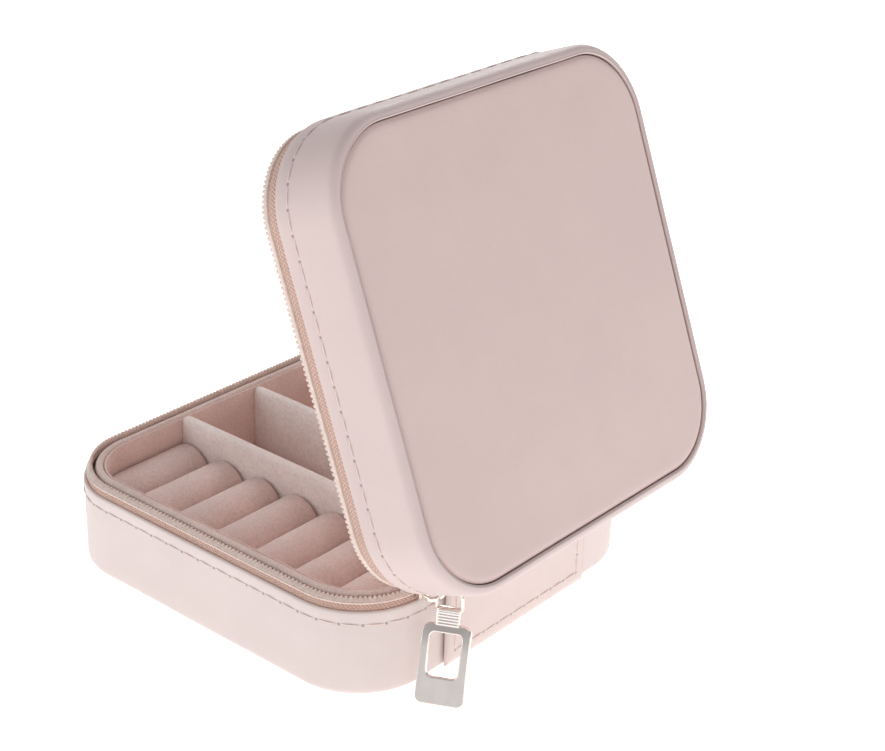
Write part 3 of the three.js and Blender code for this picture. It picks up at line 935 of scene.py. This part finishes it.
def lining_walls():
    """The velvet walls of the tray and of the lid's lining."""
    inner = INNER_OFFSET + 0.22
    section = rounded_wall(LINING_OUTER, inner, TRAY_FOOT, TRAY_RIM - 0.22, 6)
    section[-1:-1] = [(inner, z) for z in (18.0, 12.0, 7.0)]
    piece = sweep("tray_velvet_wall", velvet, section, wobble=0.10, seed=8.0)
    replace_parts(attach(piece, "base"), "tray_wall")
    section = rounded_wall(LINING_OUTER, inner, CEILING + 0.7, LID_RIM + 0.05, 6)
    piece = sweep("lid_velvet_wall", velvet, section, turn=LID_TURN, wobble=0.10, seed=11.0)
    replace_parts(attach(piece, "lid"), "lid_lining_wall")


def tray_reach(y, clearance=PIECE_OFFSET):
    """How far towards +X the inside of the tray reaches at a given y."""
    radius = CORNER_RADIUS - clearance
    beyond = max(0.0, abs(y) - SIDE)
    return SIDE + math.sqrt(max(0.0, radius * radius - beyond * beyond))


def ring_rolls():
    """Velvet-covered foam rolls side by side, soft at their ends, with slots between them."""
    wall_face = box_mm("ring_section_wall")[1].x
    side_limit = HALF - PIECE_OFFSET
    count = sum(1 for n in frame["nodes"] if n.startswith("ring_roll_"))
    inner_rolls = [box_mm(f"ring_roll_{i}") for i in (3, 4)]
    pitch = inner_rolls[1][0].y - inner_rolls[0][0].y
    first = (inner_rolls[0][0].y + inner_rolls[0][1].y) / 2 - 2 * pitch
    top = inner_rolls[0][1].z
    foot = inner_rolls[0][0].z
    radius = pitch / 2 - 0.10
    for i in range(count):
        centre = first + i * pitch
        section = [(centre - radius * 0.86, foot), (centre - radius * 0.95, foot + 4.0)]
        section += arc((centre, top - radius), radius, 180, 0, 22)
        section += [(centre + radius * 0.95, foot + 4.0), (centre + radius * 0.86, foot)]
        start = wall_face + 0.35
        rows = []
        shares = [0.0, 0.006, 0.02, 0.045, 0.08] + steps(0.13, 0.87, 0.05) + [0.92, 0.96, 0.985, 1.0]
        for share in shares:
            row = []
            for y, z in section:
                y = max(-side_limit, min(side_limit, y))
                x = start + (tray_reach(y) - start) * share
                near_end = min(x - start, tray_reach(y) - x)
                pinch = 1 - 0.13 * (1 - smoothstep(-0.6, 1.5, near_end)) ** 2
                lift = (z - foot) * pinch
                puff = 0.16 * soft_noise((x, y, z), 9.0, 20.0 + i)
                puff += 0.05 * soft_noise((x, y, z), 2.5, 3.0)
                drawn_in = centre + (y - centre) * (pinch * 0.5 + 0.5)
                row.append(Vector((x, drawn_in, foot + lift + puff)))
            rows.append(row)
        piece = loft(f"velvet_roll_{i + 1}", velvet_roll, rows)
        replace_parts(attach(piece, "base"), f"ring_roll_{i + 1}")


def padded_wall(name, node, body, seed):
    """A velvet-covered wall across the tray, rounded on top and a little uneven. Its soft top
    stands a little above the stiff core."""
    low, high = box_mm(node)
    high.z += WALL_PADDING
    radius = 1.15
    middle = (high.x + low.x) / 2
    section = [(low.x, low.z), (low.x, 10.0), (low.x, 16.0)]
    section += arc((low.x + radius, high.z - radius - 0.1), radius, 180, 90, 6)
    section += [(middle, high.z)]
    section += arc((high.x - radius, high.z - radius - 0.1), radius, 90, 0, 6)
    section += [(high.x, 16.0), (high.x, 10.0), (high.x, low.z)]
    rows = []
    end = high.y
    ends = [end, end - 0.25, end - 0.8]
    for y in [-y for y in ends] + steps(-end + 2.0, end - 2.0, 2.0) + ends[::-1]:
        near_end = end - abs(y)
        fit = 1 - 0.10 * (1 - smoothstep(0.0, 0.9, near_end))
        row = []
        for x, z in section:
            swell = 0.12 * soft_noise((x, y, z), 11.0, seed)
            rise = 0.10 * soft_noise((0, y, 0), 17.0, seed) * smoothstep(16.0, 18.0, z)
            height = low.z + (z - low.z) * (0.99 + 0.01 * fit) + rise
            row.append(Vector((middle + (x - middle) * fit + swell, y, height)))
        rows.append(row)
    piece = loft(name, velvet_wall, rows)
    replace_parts(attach(piece, body), node)


# ---- Hinge strip ----
LID_UP = Vector((0, math.sin(LID_OPEN), math.cos(LID_OPEN)))       # up the lid's back wall
LID_BACK = Vector((0, math.cos(LID_OPEN), -math.sin(LID_OPEN)))    # out of the lid's back wall
HINGE_BEND = 2.4         # radius that the strip's middle layer is bent to


def hinge_line(rise):
    """The strip's path in the YZ plane at a height above the two back faces: straight up the base,
    round the inside of the bend, and straight along the lid. Gives points and outward normals."""
    foot = box_mm("hinge_panel_lower")[0].z
    head = shut_box("hinge_panel_upper")[1].z - HINGE.z
    half_turn = LID_OPEN / 2
    radius = HINGE_BEND - rise
    back = Vector((0, 1, 0))
    corner = HINGE - Vector((0, 0, HINGE_RISE * math.tan(half_turn)))
    tangent = HINGE_BEND * math.tan(half_turn)
    centre = corner - Vector((0, 0, tangent)) + back * (HINGE_RISE + HINGE_BEND)
    line = []
    for z in steps(foot, centre.z, 1.2):
        line.append((Vector((0, HINGE.y + HINGE_RISE + rise, z)), back))
    for k in range(1, 12):
        angle = LID_OPEN * k / 12
        normal = Vector((0, math.cos(angle), -math.sin(angle)))
        line.append((centre - normal * radius, normal))
    run_start = centre - LID_BACK * (HINGE_BEND + HINGE_RISE)
    start = (run_start - HINGE).dot(LID_UP)
    for t in steps(start, head, 1.2):
        line.append((HINGE + LID_UP * t + LID_BACK * (HINGE_RISE + rise), LID_BACK))
    return line


def rounding(distance, reach=0.5):
    """How full a cut edge is at a distance in from it, from 0 at the edge to 1."""
    short = 1 - min(1.0, distance / reach)
    return math.sqrt(1 - short * short)


def hinge_strip():
    """One strip of leather from the back of the base to the back of the lid, stitched all round."""
    centre_line = hinge_line(0.0)
    run = lengths([p for p, _ in centre_line])
    total = run[-1]
    half_thick = LEATHER / 2
    across = steps(-HINGE_HALF, HINGE_HALF, HINGE_HALF / 20)
    rows = []
    for (point, normal), t in zip(centre_line, run):
        near = min(t, total - t)
        upper, lower = [], []
        for x in across:
            side = HINGE_HALF - abs(x)
            fit = 0.25 + 0.75 * min(rounding(near), rounding(side))
            groove = math.exp(-((side - HINGE_STITCH_INSET) / 0.5) ** 2)
            groove += math.exp(-((near - HINGE_STITCH_INSET) / 0.5) ** 2)
            groove *= 0.10 * smoothstep(2.3, 2.7, min(near, side))
            puff = 0.06 * soft_noise((x, t, 0), 9.0, 31.0)
            middle = point + Vector((x, 0, 0))
            upper.append(middle + normal * (half_thick * fit - groove + puff))
            lower.append(middle - normal * half_thick * fit)
        rows.append(upper + lower[::-1])
    widths = [x + HINGE_HALF for x in across]
    vs = widths + [w + 60.0 for w in widths] + [120.0]
    piece = loft("hinge_strip", leather_hinge(total), rows, run, vs)
    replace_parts(piece, "hinge_panel_lower", "hinge_panel_upper")
    bend_with_lid(piece)
    hinge_stitching(total)


def bend_with_lid(piece):
    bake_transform(piece)


def leather_hinge(total):
    """The hinge strip's leather, with needle holes down both sides and across both ends, and painted shade
    in them.
    """
    shader, tinted, normal = leather_shader("Leather, hinge", BLUSH, flat=True)
    u, v, _ = shader.uv()
    inset = HINGE_STITCH_INSET
    side_pitch, end_pitch = hinge_pitches(total)
    mask = 0.0
    for along, across, length, pitch in ((u, v, 2 * HINGE_HALF, side_pitch), (v, u, total, end_pitch)):
        shifted = shader.maths("PINGPONG", shader.minus(along, inset), pitch / 2)
        for row in (inset, length - inset):
            hole = needle_hole(shader, shifted, shader.minus(across, row))
            mask = shader.maths("MAXIMUM", mask, hole)
    for value, length in ((u, total), (v, 2 * HINGE_HALF)):
        beyond = shader.maths("GREATER_THAN", value, inset - 0.6)
        before = shader.maths("LESS_THAN", value, length - inset + 0.6)
        mask = shader.times(mask, shader.times(beyond, before))
    # Painted shade in the needle holes.
    shader.color(shader.mix(shader.times(mask, HOLE_PAINTED_SHADE), tinted, shade(BLUSH, 0.2)))
    shader.bump(shader.minus(1.0, mask), 0.10, normal)
    return shader.material


def hinge_pitches(total):
    """Stitch pitch down the sides and across the ends, so that whole stitches fit."""
    side = total - 2 * HINGE_STITCH_INSET
    end = 2 * (HINGE_HALF - HINGE_STITCH_INSET)
    return side / round(side / STITCH_PITCH), end / round(end / STITCH_PITCH)


def hinge_stitching(total):
    line = hinge_line(0.0)
    run = lengths([p for p, _ in line])

    def on_line(t):
        for (a, b), (start, end) in zip(zip(line, line[1:]), zip(run, run[1:])):
            if start <= t <= end:
                share = (t - start) / max(end - start, 1e-9)
                return a[0].lerp(b[0], share), a[1].lerp(b[1], share).normalized()
        return line[-1]

    def down_side(x):
        def surface(t):
            point, normal = on_line(t)
            return point + Vector((x, 0, 0)) + normal * HINGE_STITCH_RISE, normal, Vector((1, 0, 0))
        return surface

    def across_end(t):
        def surface(x):
            point, normal = on_line(t)
            along = normal.cross(Vector((1, 0, 0)))
            return point + Vector((x, 0, 0)) + normal * HINGE_STITCH_RISE, normal, along
        return surface

    builder = Builder()
    side_pitch, end_pitch = hinge_pitches(total)
    reach = HINGE_HALF - HINGE_STITCH_INSET
    first, last = HINGE_STITCH_INSET, total - HINGE_STITCH_INSET
    rows = [(down_side(x), first, last, side_pitch) for x in (-reach, reach)]
    rows += [(across_end(t), -reach, reach, end_pitch) for t in (first, last)]
    for row in rows:
        stitches(builder, *row)
    piece = builder.make("hinge_stitching", thread)
    bend_with_lid(piece)


# ---- Inside the lid ----
def lid_pocket():
    """A gathered velvet pocket under an elastic band, flat against the lid's lining."""
    high = shut_box("lid_pocket")[1]
    mouth = shut_box("pocket_band")[1].y - 0.2
    rows = []
    columns = steps(-1.0, 1.0, 1 / 90)
    ys = steps(mouth, high.y - 0.3, 1.1)
    for y in ys:
        reach = tray_reach(y, POCKET_OFFSET) if y > SIDE else POCKET_REACH
        away = (y - ys[0]) / (ys[-1] - ys[0])
        row = []
        for a in columns:
            x = a * reach
            wave = math.sin(x * 1.55 + 1.4 * soft_noise((x, y, 0), 9.0, 40.0) + 0.5 * math.sin(0.31 * x))
            swell = 0.75 + 0.9 * math.sin(math.pi * min(1.0, away * 1.05)) ** 0.7
            depth = 0.55 + 0.34 * wave * (1 - 0.55 * away) * swell + 0.25 * soft_noise((x, y, 1), 6.0, 44.0)
            depth *= 1 - 0.6 * smoothstep(0.85, 1.0, away)
            row.append(Vector((x, y, high.z - max(0.12, depth))))
        rows.append(row)
    builder = Builder()
    builder.grid(rows)
    piece = builder.make("lid_pocket_cloth", velvet, LID_TURN)
    solid = piece.modifiers.new("Cloth thickness", "SOLIDIFY")
    solid.thickness = 0.35 * MM
    solid.offset = 0.0
    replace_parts(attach(piece, "lid"), "lid_pocket")


def pocket_band():
    """The rippled elastic along the pocket's mouth."""
    low, high = shut_box("pocket_band")
    middle_y = (low.y + high.y) / 2
    middle_z = shut_box("lid_pocket")[1].z - 0.75
    section = rounded_rect((high.y - low.y) / 2, 0.52, 0.45, 4)
    rows = []
    us = steps(-POCKET_REACH, POCKET_REACH, 0.5)
    for x in us:
        ripple = 0.10 * math.sin(3.1 * x + 0.8 * math.sin(0.9 * x))
        rows.append([Vector((x, middle_y + a, middle_z + b + ripple)) for a, b in section])
    piece = loft("pocket_elastic", elastic, rows, us, lengths(section, True), LID_TURN)
    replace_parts(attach(piece, "lid"), "pocket_band")


def turned(centre, profile, sides=28):
    """Rings of a turned shape about a line along Z, from (radius, z) points that start and end on
    the line."""
    turns = [Vector((math.cos(a), math.sin(a), 0)) for a in angles(sides)]
    rows = []
    for radius, z in profile:
        middle = Vector((centre.x, centre.y, z))
        rows.append([middle + turn * max(radius, 0.01) for turn in turns])
    return rows


def necklace_strap(i):
    """A leather strap with a round end, sewn down at its other end."""
    low, high = shut_box(f"necklace_strap_{i}")
    start, end = shut_box(f"strap_anchor_{i}")[0].y, high.y
    middle = (low.x + high.x) / 2
    half = (high.x - low.x) / 2
    top, thick = high.z, high.z - low.z
    ys = [start, start + 0.15, start + 0.5] + steps(start + 1.0, end - half, 0.9)[1:]
    ys += [end - half + half * math.sin(math.radians(a)) for a in (12, 24, 36, 48, 60, 70, 78, 84, 88)]
    rows = []
    for y in ys:
        beyond = max(0.0, y - (end - half))
        width = math.sqrt(max(0.02, half * half - beyond * beyond))
        fit = 0.35 + 0.65 * smoothstep(0.0, 0.5, min(y - start, end - y) + 0.02)
        row = []
        for x, z in rounded_rect(width, thick / 2 * fit, min(0.38, thick / 2 * fit * 0.95), 4):
            crown = 0.06 * (1 - (x / max(width, 0.1)) ** 2)
            row.append(Vector((middle + x, y, top - thick / 2 + z + (crown if z > 0 else -crown))))
        rows.append(row)
    us = [y - start for y in ys]
    piece = loft(f"strap_leather_{i}", leather_plain, rows, us, None, LID_TURN)
    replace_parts(piece, f"necklace_strap_{i}", f"strap_anchor_{i}")
    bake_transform(piece)


def press_stud(i):
    """The domed cap on a strap and the stud in the lid that it presses onto."""
    low, high = shut_box(f"snap_cap_{i}")
    centre = (low + high) / 2
    z = high.z + 0.25
    dome = turned(centre, [(0.0, z), (2.2, z), (2.9, z - 0.25), (3.0, z - 0.55),
                           (2.8, z - 0.85), (2.2, z - 1.15), (1.2, z - 1.32), (0.0, z - 1.36)])
    cap = loft(f"snap_dome_{i}", polished, dome, turn=LID_TURN)
    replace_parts(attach(cap, f"strap_{i}"), f"snap_cap_{i}")
    low, high = shut_box(f"snap_stud_{i}")
    z = high.z
    post = turned(centre, [(0.0, z), (2.0, z), (2.05, z - 0.2), (1.6, z - 0.35),
                           (1.25, z - 0.5), (1.2, z - 0.7), (0.8, z - 0.88), (0.0, low.z)])
    stud = loft(f"snap_post_{i}", satin, post, turn=LID_TURN)
    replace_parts(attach(stud, "lid"), f"snap_stud_{i}")


# ---- Slider and pull ----
def slider_piece():
    """The zip's slider: an outer plate with a raised middle, an inner plate and the wedge between,
    all curved to the corner."""
    low, high = box_mm("slider_body")
    half_height = (high.z - low.z) / 2
    first, last = math.radians(-12.5), math.radians(6.5)

    def outward(angle):
        return Vector((math.sin(angle), math.cos(angle), 0))

    def plate(builder, inner, outer, crown):
        """A curved plate between two radii, drawn in towards its two ends."""
        rows = []
        for t in steps(-1.0, 1.0, 0.09):
            out = outward(first + (last - first) * (t + 1) / 2)
            tall = half_height * (1 - 0.22 * abs(t) ** 3)
            row = []
            for a, b in rounded_rect((outer - inner) / 2, tall, (outer - inner) / 2 * 0.72, 4):
                bulge = crown * (1 - (b / half_height) ** 2) * (1 - t * t)
                radius = (outer + inner) / 2 + a + (bulge if a > 0 else 0.0)
                row.append(SLIDER_AXIS + out * radius + Vector((0, 0, b)))
            rows.append(row)
        builder.grid(rows, None, None, wrap_columns=True, caps=True)

    builder = Builder()
    face = high.y - SLIDER_AXIS.y
    plate(builder, face - 1.08, face, 0.25)
    plate(builder, CORNER_RADIUS - 2.84, CORNER_RADIUS - 2.58, 0.0)
    outer, inner = face - 1.0, CORNER_RADIUS - 2.7
    wedge = []
    for angle, wide in ((-1.0, 0.2), (0.5, 0.36), (3.0, 0.42), (4.5, 0.3)):
        out = outward(math.radians(angle)) * (outer + inner) / 2
        wedge.append([SLIDER_AXIS + out + out.normalized() * a + Vector((0, 0, b + 0.62))
                      for a, b in rounded_rect((outer - inner) / 2, wide, 0.18, 3)])
    builder.grid(wedge, None, None, wrap_columns=True, caps=True)
    piece = builder.make("slider", satin, smooth_angle=50)
    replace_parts(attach(piece, "slider"), "slider_body")


def slider_bridge():
    """The arch on the slider's face that the ring hangs from."""
    low, high = box_mm("slider_bridge")
    foot, crown = low.y - 0.25, high.y
    half = ARCH_WIDTH / 2
    middle = low.x + 0.2 + half
    z = (low.z + high.z) / 2
    wire = 0.36
    bend = 1.3
    line = [(-half + wire, foot), (-half + wire, foot + 0.4)]
    line += arc((-half + wire + bend, crown - wire - bend), bend, 180, 90, 6)
    line += arc((half - wire - bend, crown - wire - bend), bend, 90, 0, 6)
    line += [(half - wire, foot + 0.4), (half - wire, foot)]
    rows = []
    for (x, y), along in zip(line, headings(line)):
        out = Vector((-along.y, along.x, 0))
        rows.append([Vector((middle + x, y, z + b)) + out * a
                     for a, b in rounded_rect(wire, (high.z - low.z) / 2, 0.30, 4)])
    piece = loft("slider_arch", polished, rows, smooth_angle=50)
    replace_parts(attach(piece, "slider"), "slider_bridge")


ARCH_WIDTH = 4.8
RING_TALL = 6.2
RING_WIDE = 6.4
RING_WIRE = 0.42
TAB_BEND = 0.026         # how fast the tab's top end curls back towards the box


def pull_frame():
    """Directions across, down and out of the hanging pull, from the CAD tab as it lies."""
    tab = frame["nodes"]["pull_tab"]
    middle = sum((v.co / MM for v in tab.data.vertices), Vector()) / len(tab.data.vertices)
    across = PULL_ACROSS if PULL_ACROSS.x < 0 else -PULL_ACROSS
    down = (middle - PULL_PIVOT)
    down = (down - across * down.dot(across)).normalized()
    out = across.cross(down)
    return across, down, out if out.x + out.y > 0 else -out


def pull_ring():
    """A bent wire ring, flat across the bottom where the link holds it and round above."""
    across, _, _ = pull_frame()
    centre = PULL_PIVOT + Vector((0, 0, RING_TALL / 2 - RING_WIRE))
    half_x, half_z = RING_WIDE / 2 - RING_WIRE, RING_TALL / 2 - RING_WIRE
    outline = rounded_rect(half_x, half_z, 2.55, 10, 0.9)
    line = [centre + across * x + Vector((0, 0, z)) for x, z in outline]
    builder = Builder()
    tube(builder, line, [RING_WIRE] * len(line), 14, closed=True)
    piece = builder.make("wire_ring", polished)
    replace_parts(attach(piece, "ring"), "pull_ring")


def pull_link():
    """A folded strip that wraps the ring's lower wire and grips the tab, with pressed lines."""
    across, down, out = pull_frame()
    bore, wall = 0.62, 0.42
    half_width = 2.65
    length = 3.15
    grip = 0.98              # half its thickness where it holds the tab
    loop = bore + wall
    outer = [(x, -y) for x, y in arc((0, 0), loop, 0, 180, 14)]
    flank_steps = 34
    left, right = [], []
    for k in range(1, flank_steps + 1):
        t = k / flank_steps
        draw_in = smoothstep(0.0, 0.45, t) * (loop - grip)
        ridge = 0.10 * abs(math.sin(math.pi * 5 * t)) if t < 0.96 else 0.0
        left.append((-(loop - draw_in - 0.10 + ridge), length * t))
        right.append((loop - draw_in - 0.10 + ridge, length * t))
    section = right[::-1] + outer + left
    rows, us = [], []
    for a in (-1.0, -0.985, -0.95, -0.6, 0.0, 0.6, 0.95, 0.985, 1.0):
        fit = {1.0: 0.82, 0.985: 0.93, 0.95: 1.0}.get(abs(a), 1.0)
        row = []
        for x, y in section:
            wide = a * half_width * (1 - 0.05 * max(0.0, y) / length)
            low = y if y > 0 else y * fit
            row.append(PULL_PIVOT + across * wide + out * x * fit + down * low)
        rows.append(row)
        us.append(a)
    piece = loft("pull_clasp", satin, rows, us, smooth_angle=60)
    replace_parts(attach(piece, "pull"), "pull_link")


def with_runs(loop, corner, extra):
    """Adds points along the straight runs between corners that have a given number of points."""
    points = []
    for i, point in enumerate(loop):
        points.append(point)
        if (i + 1) % corner == 0:
            ahead = Vector(loop[(i + 1) % len(loop)])
            points += [tuple(Vector(point).lerp(ahead, k / (extra + 1))) for k in range(1, extra + 1)]
    return points


def pull_tab():
    """The flat tab with its window, edges rounded all round."""
    across, down, out = pull_frame()
    corners = [v.co / MM - PULL_PIVOT for v in frame["nodes"]["pull_tab"].data.vertices]
    heights, widths, depths = ([p.dot(way) for p in corners] for way in (down, across, out))
    top, bottom = min(heights), max(heights)
    half_x, half_y = (max(widths) - min(widths)) / 2, (bottom - top) / 2
    thickness = max(depths) - min(depths)
    bar, window_length = 1.95, 9.4
    outer = with_runs(rounded_rect(half_x, half_y, 1.9, 10, 1.5), 11, 16)
    shift = half_y - bar - window_length / 2
    window = with_runs(rounded_rect(half_x - bar, window_length / 2, 1.0, 10, 1.5), 11, 16)
    inner = [(x, y + shift) for x, y in window]
    builder = Builder()
    extrude_loop(builder, (outer, inner), thickness)
    middle = (top + bottom) / 2
    placed = []
    for p in builder.points:
        bow = TAB_BEND * max(0.0, p.y - half_y + 6.0) ** 2 + 0.08 * (p.x / half_x) ** 2
        placed.append(PULL_PIVOT + across * p.x + down * (middle - p.y) + out * (p.z - bow + 0.30))
    builder.points = placed
    piece = builder.make("tab", polished, smooth_angle=35)
    bevel(piece, 0.36, 4)
    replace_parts(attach(piece, "pull"), "pull_tab")


def zip_stops():
    for i in (1, 2):
        low, high = box_mm(f"zip_stop_{i}")
        rows = []
        middle = (low + high) / 2
        for t in (0.0, 0.12, 0.3, 0.7, 0.88, 1.0):
            fit = {0.0: 0.7, 1.0: 0.7, 0.12: 0.93, 0.88: 0.93}.get(t, 1.0)
            z = low.z + (high.z - low.z) * t
            rows.append([Vector((middle.x + x * fit, middle.y + y * fit, z)) for x, y in
                         rounded_rect((high.x - low.x) / 2, (high.y - low.y) / 2, 0.35, 4)])
        piece = loft(f"end_stop_{i}", satin, rows)
        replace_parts(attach(piece, "base"), f"zip_stop_{i}")


# ---- CAD nodes that stay as they are ----
def finish_cad_nodes():
    kept = {
        "base_bottom_cover": leather_plain, "base_wall_board": board, "base_bottom_board": board,
        "lid_wall_board": board, "lid_top_board": board, "lid_face_pad": foam,
        "tray_floor": velvet, "lid_lining_panel": velvet,
    }
    for name, material in kept.items():
        node = frame["nodes"][name]
        node.data.materials.clear()
        node.data.materials.append(material)


# ---- Stage, light and camera ----
def stage_and_light():
    builder = Builder()
    size = 3000.0
    builder.grid([[Vector((-size, -size, -0.02)), Vector((size, -size, -0.02))],
                  [Vector((-size, size, -0.02)), Vector((size, size, -0.02))]])
    floor_shader = Shader("Pale floor", (0.93, 0.93, 0.93), 0.9)
    floor_shader.bsdf.inputs["Emission Color"].default_value = (1, 1, 1, 1)
    floor_shader.bsdf.inputs["Emission Strength"].default_value = 0.76
    floor = builder.make("floor", floor_shader.material)
    studio_world()
    add_light("key", (560, -260, 300), 420, 0.65)
    add_light("fill", (300, 620, 220), 360, 0.38)
    add_light("low", (-260, 420, 60), 300, 0.24)
    add_light("front", (-500, -300, 420), 400, 2.0)


def studio_world():
    """An even pale room that is dimmer overhead, with one dark patch above the horizon towards -X
    for the polished metal to mirror."""
    world = bpy.data.worlds.new("Studio")
    bpy.context.scene.world = world
    world.use_nodes = True
    room = Nodes(world.node_tree)
    split = room.node("ShaderNodeSeparateXYZ")
    room.link(room.coordinates("Generated"), split.inputs[0])
    upward = room.fade(split.outputs["Z"], 0.05, 0.95, kind="LINEAR")
    pale = room.mix(upward, (0.78, 0.78, 0.785), (0.22, 0.22, 0.225))
    sideways = room.fade(split.outputs["X"], -0.72, -0.93)
    raised = room.fade(split.outputs["Z"], 0.15, 0.23)
    color = room.mix(room.times(sideways, raised), pale, (0.07, 0.06, 0.055))
    room.link(color, world.node_tree.nodes["Background"].inputs["Color"])


def add_light(name, place_mm, size_mm, watts):
    data = bpy.data.lights.new(name, "AREA")
    data.size = size_mm * MM
    data.energy = watts
    lamp = bpy.data.objects.new(name, data)
    bpy.context.scene.collection.objects.link(lamp)
    lamp.location = Vector(place_mm) * MM
    aim = Vector((0, 0, 40)) * MM - lamp.location
    lamp.rotation_euler = aim.to_track_quat("-Z", "Y").to_euler()


CAMERA_TARGET = Vector((-27.80, 4.01, 37.55))
CAMERA_AZIMUTH = 129.797
CAMERA_ELEVATION = 25.636
CAMERA_ROLL = 1.651
CAMERA_DISTANCE = 465.0
CAMERA_LENS = 77.74


def make_camera():
    azimuth, elevation = math.radians(CAMERA_AZIMUTH), math.radians(CAMERA_ELEVATION)
    back = Vector((math.sin(azimuth) * math.cos(elevation), -math.cos(azimuth) * math.cos(elevation),
                   math.sin(elevation)))
    data = bpy.data.cameras.new("camera")
    data.sensor_width = 36.0
    data.lens = CAMERA_LENS
    data.clip_start = 0.01
    data.clip_end = 20.0
    camera = bpy.data.objects.new("camera", data)
    bpy.context.scene.collection.objects.link(camera)
    level = (-back).to_track_quat("-Z", "Y").to_matrix().to_4x4()
    roll = Matrix.Rotation(math.radians(CAMERA_ROLL), 4, "Z")
    camera.matrix_world = Matrix.Translation((CAMERA_TARGET + back * CAMERA_DISTANCE) * MM) @ level @ roll
    bpy.context.scene.camera = camera
    bpy.context.scene.view_settings.view_transform = "Standard"


# ---- The whole scene ----
make_camera()
stage_and_light()
covers()
cover_stitching()
face_panel()
zip_halves()
rim_beads()
lining_walls()
ring_rolls()
padded_wall("ring_wall", "ring_section_wall", "base", 51.0)
padded_wall("divider", "lift_out_divider", "divider", 57.0)
hinge_strip()
lid_pocket()
pocket_band()
for number in (1, 2, 3):
    necklace_strap(number)
    press_stud(number)
slider_piece()
slider_bridge()
pull_ring()
pull_link()
pull_tab()
zip_stops()
finish_cad_nodes()
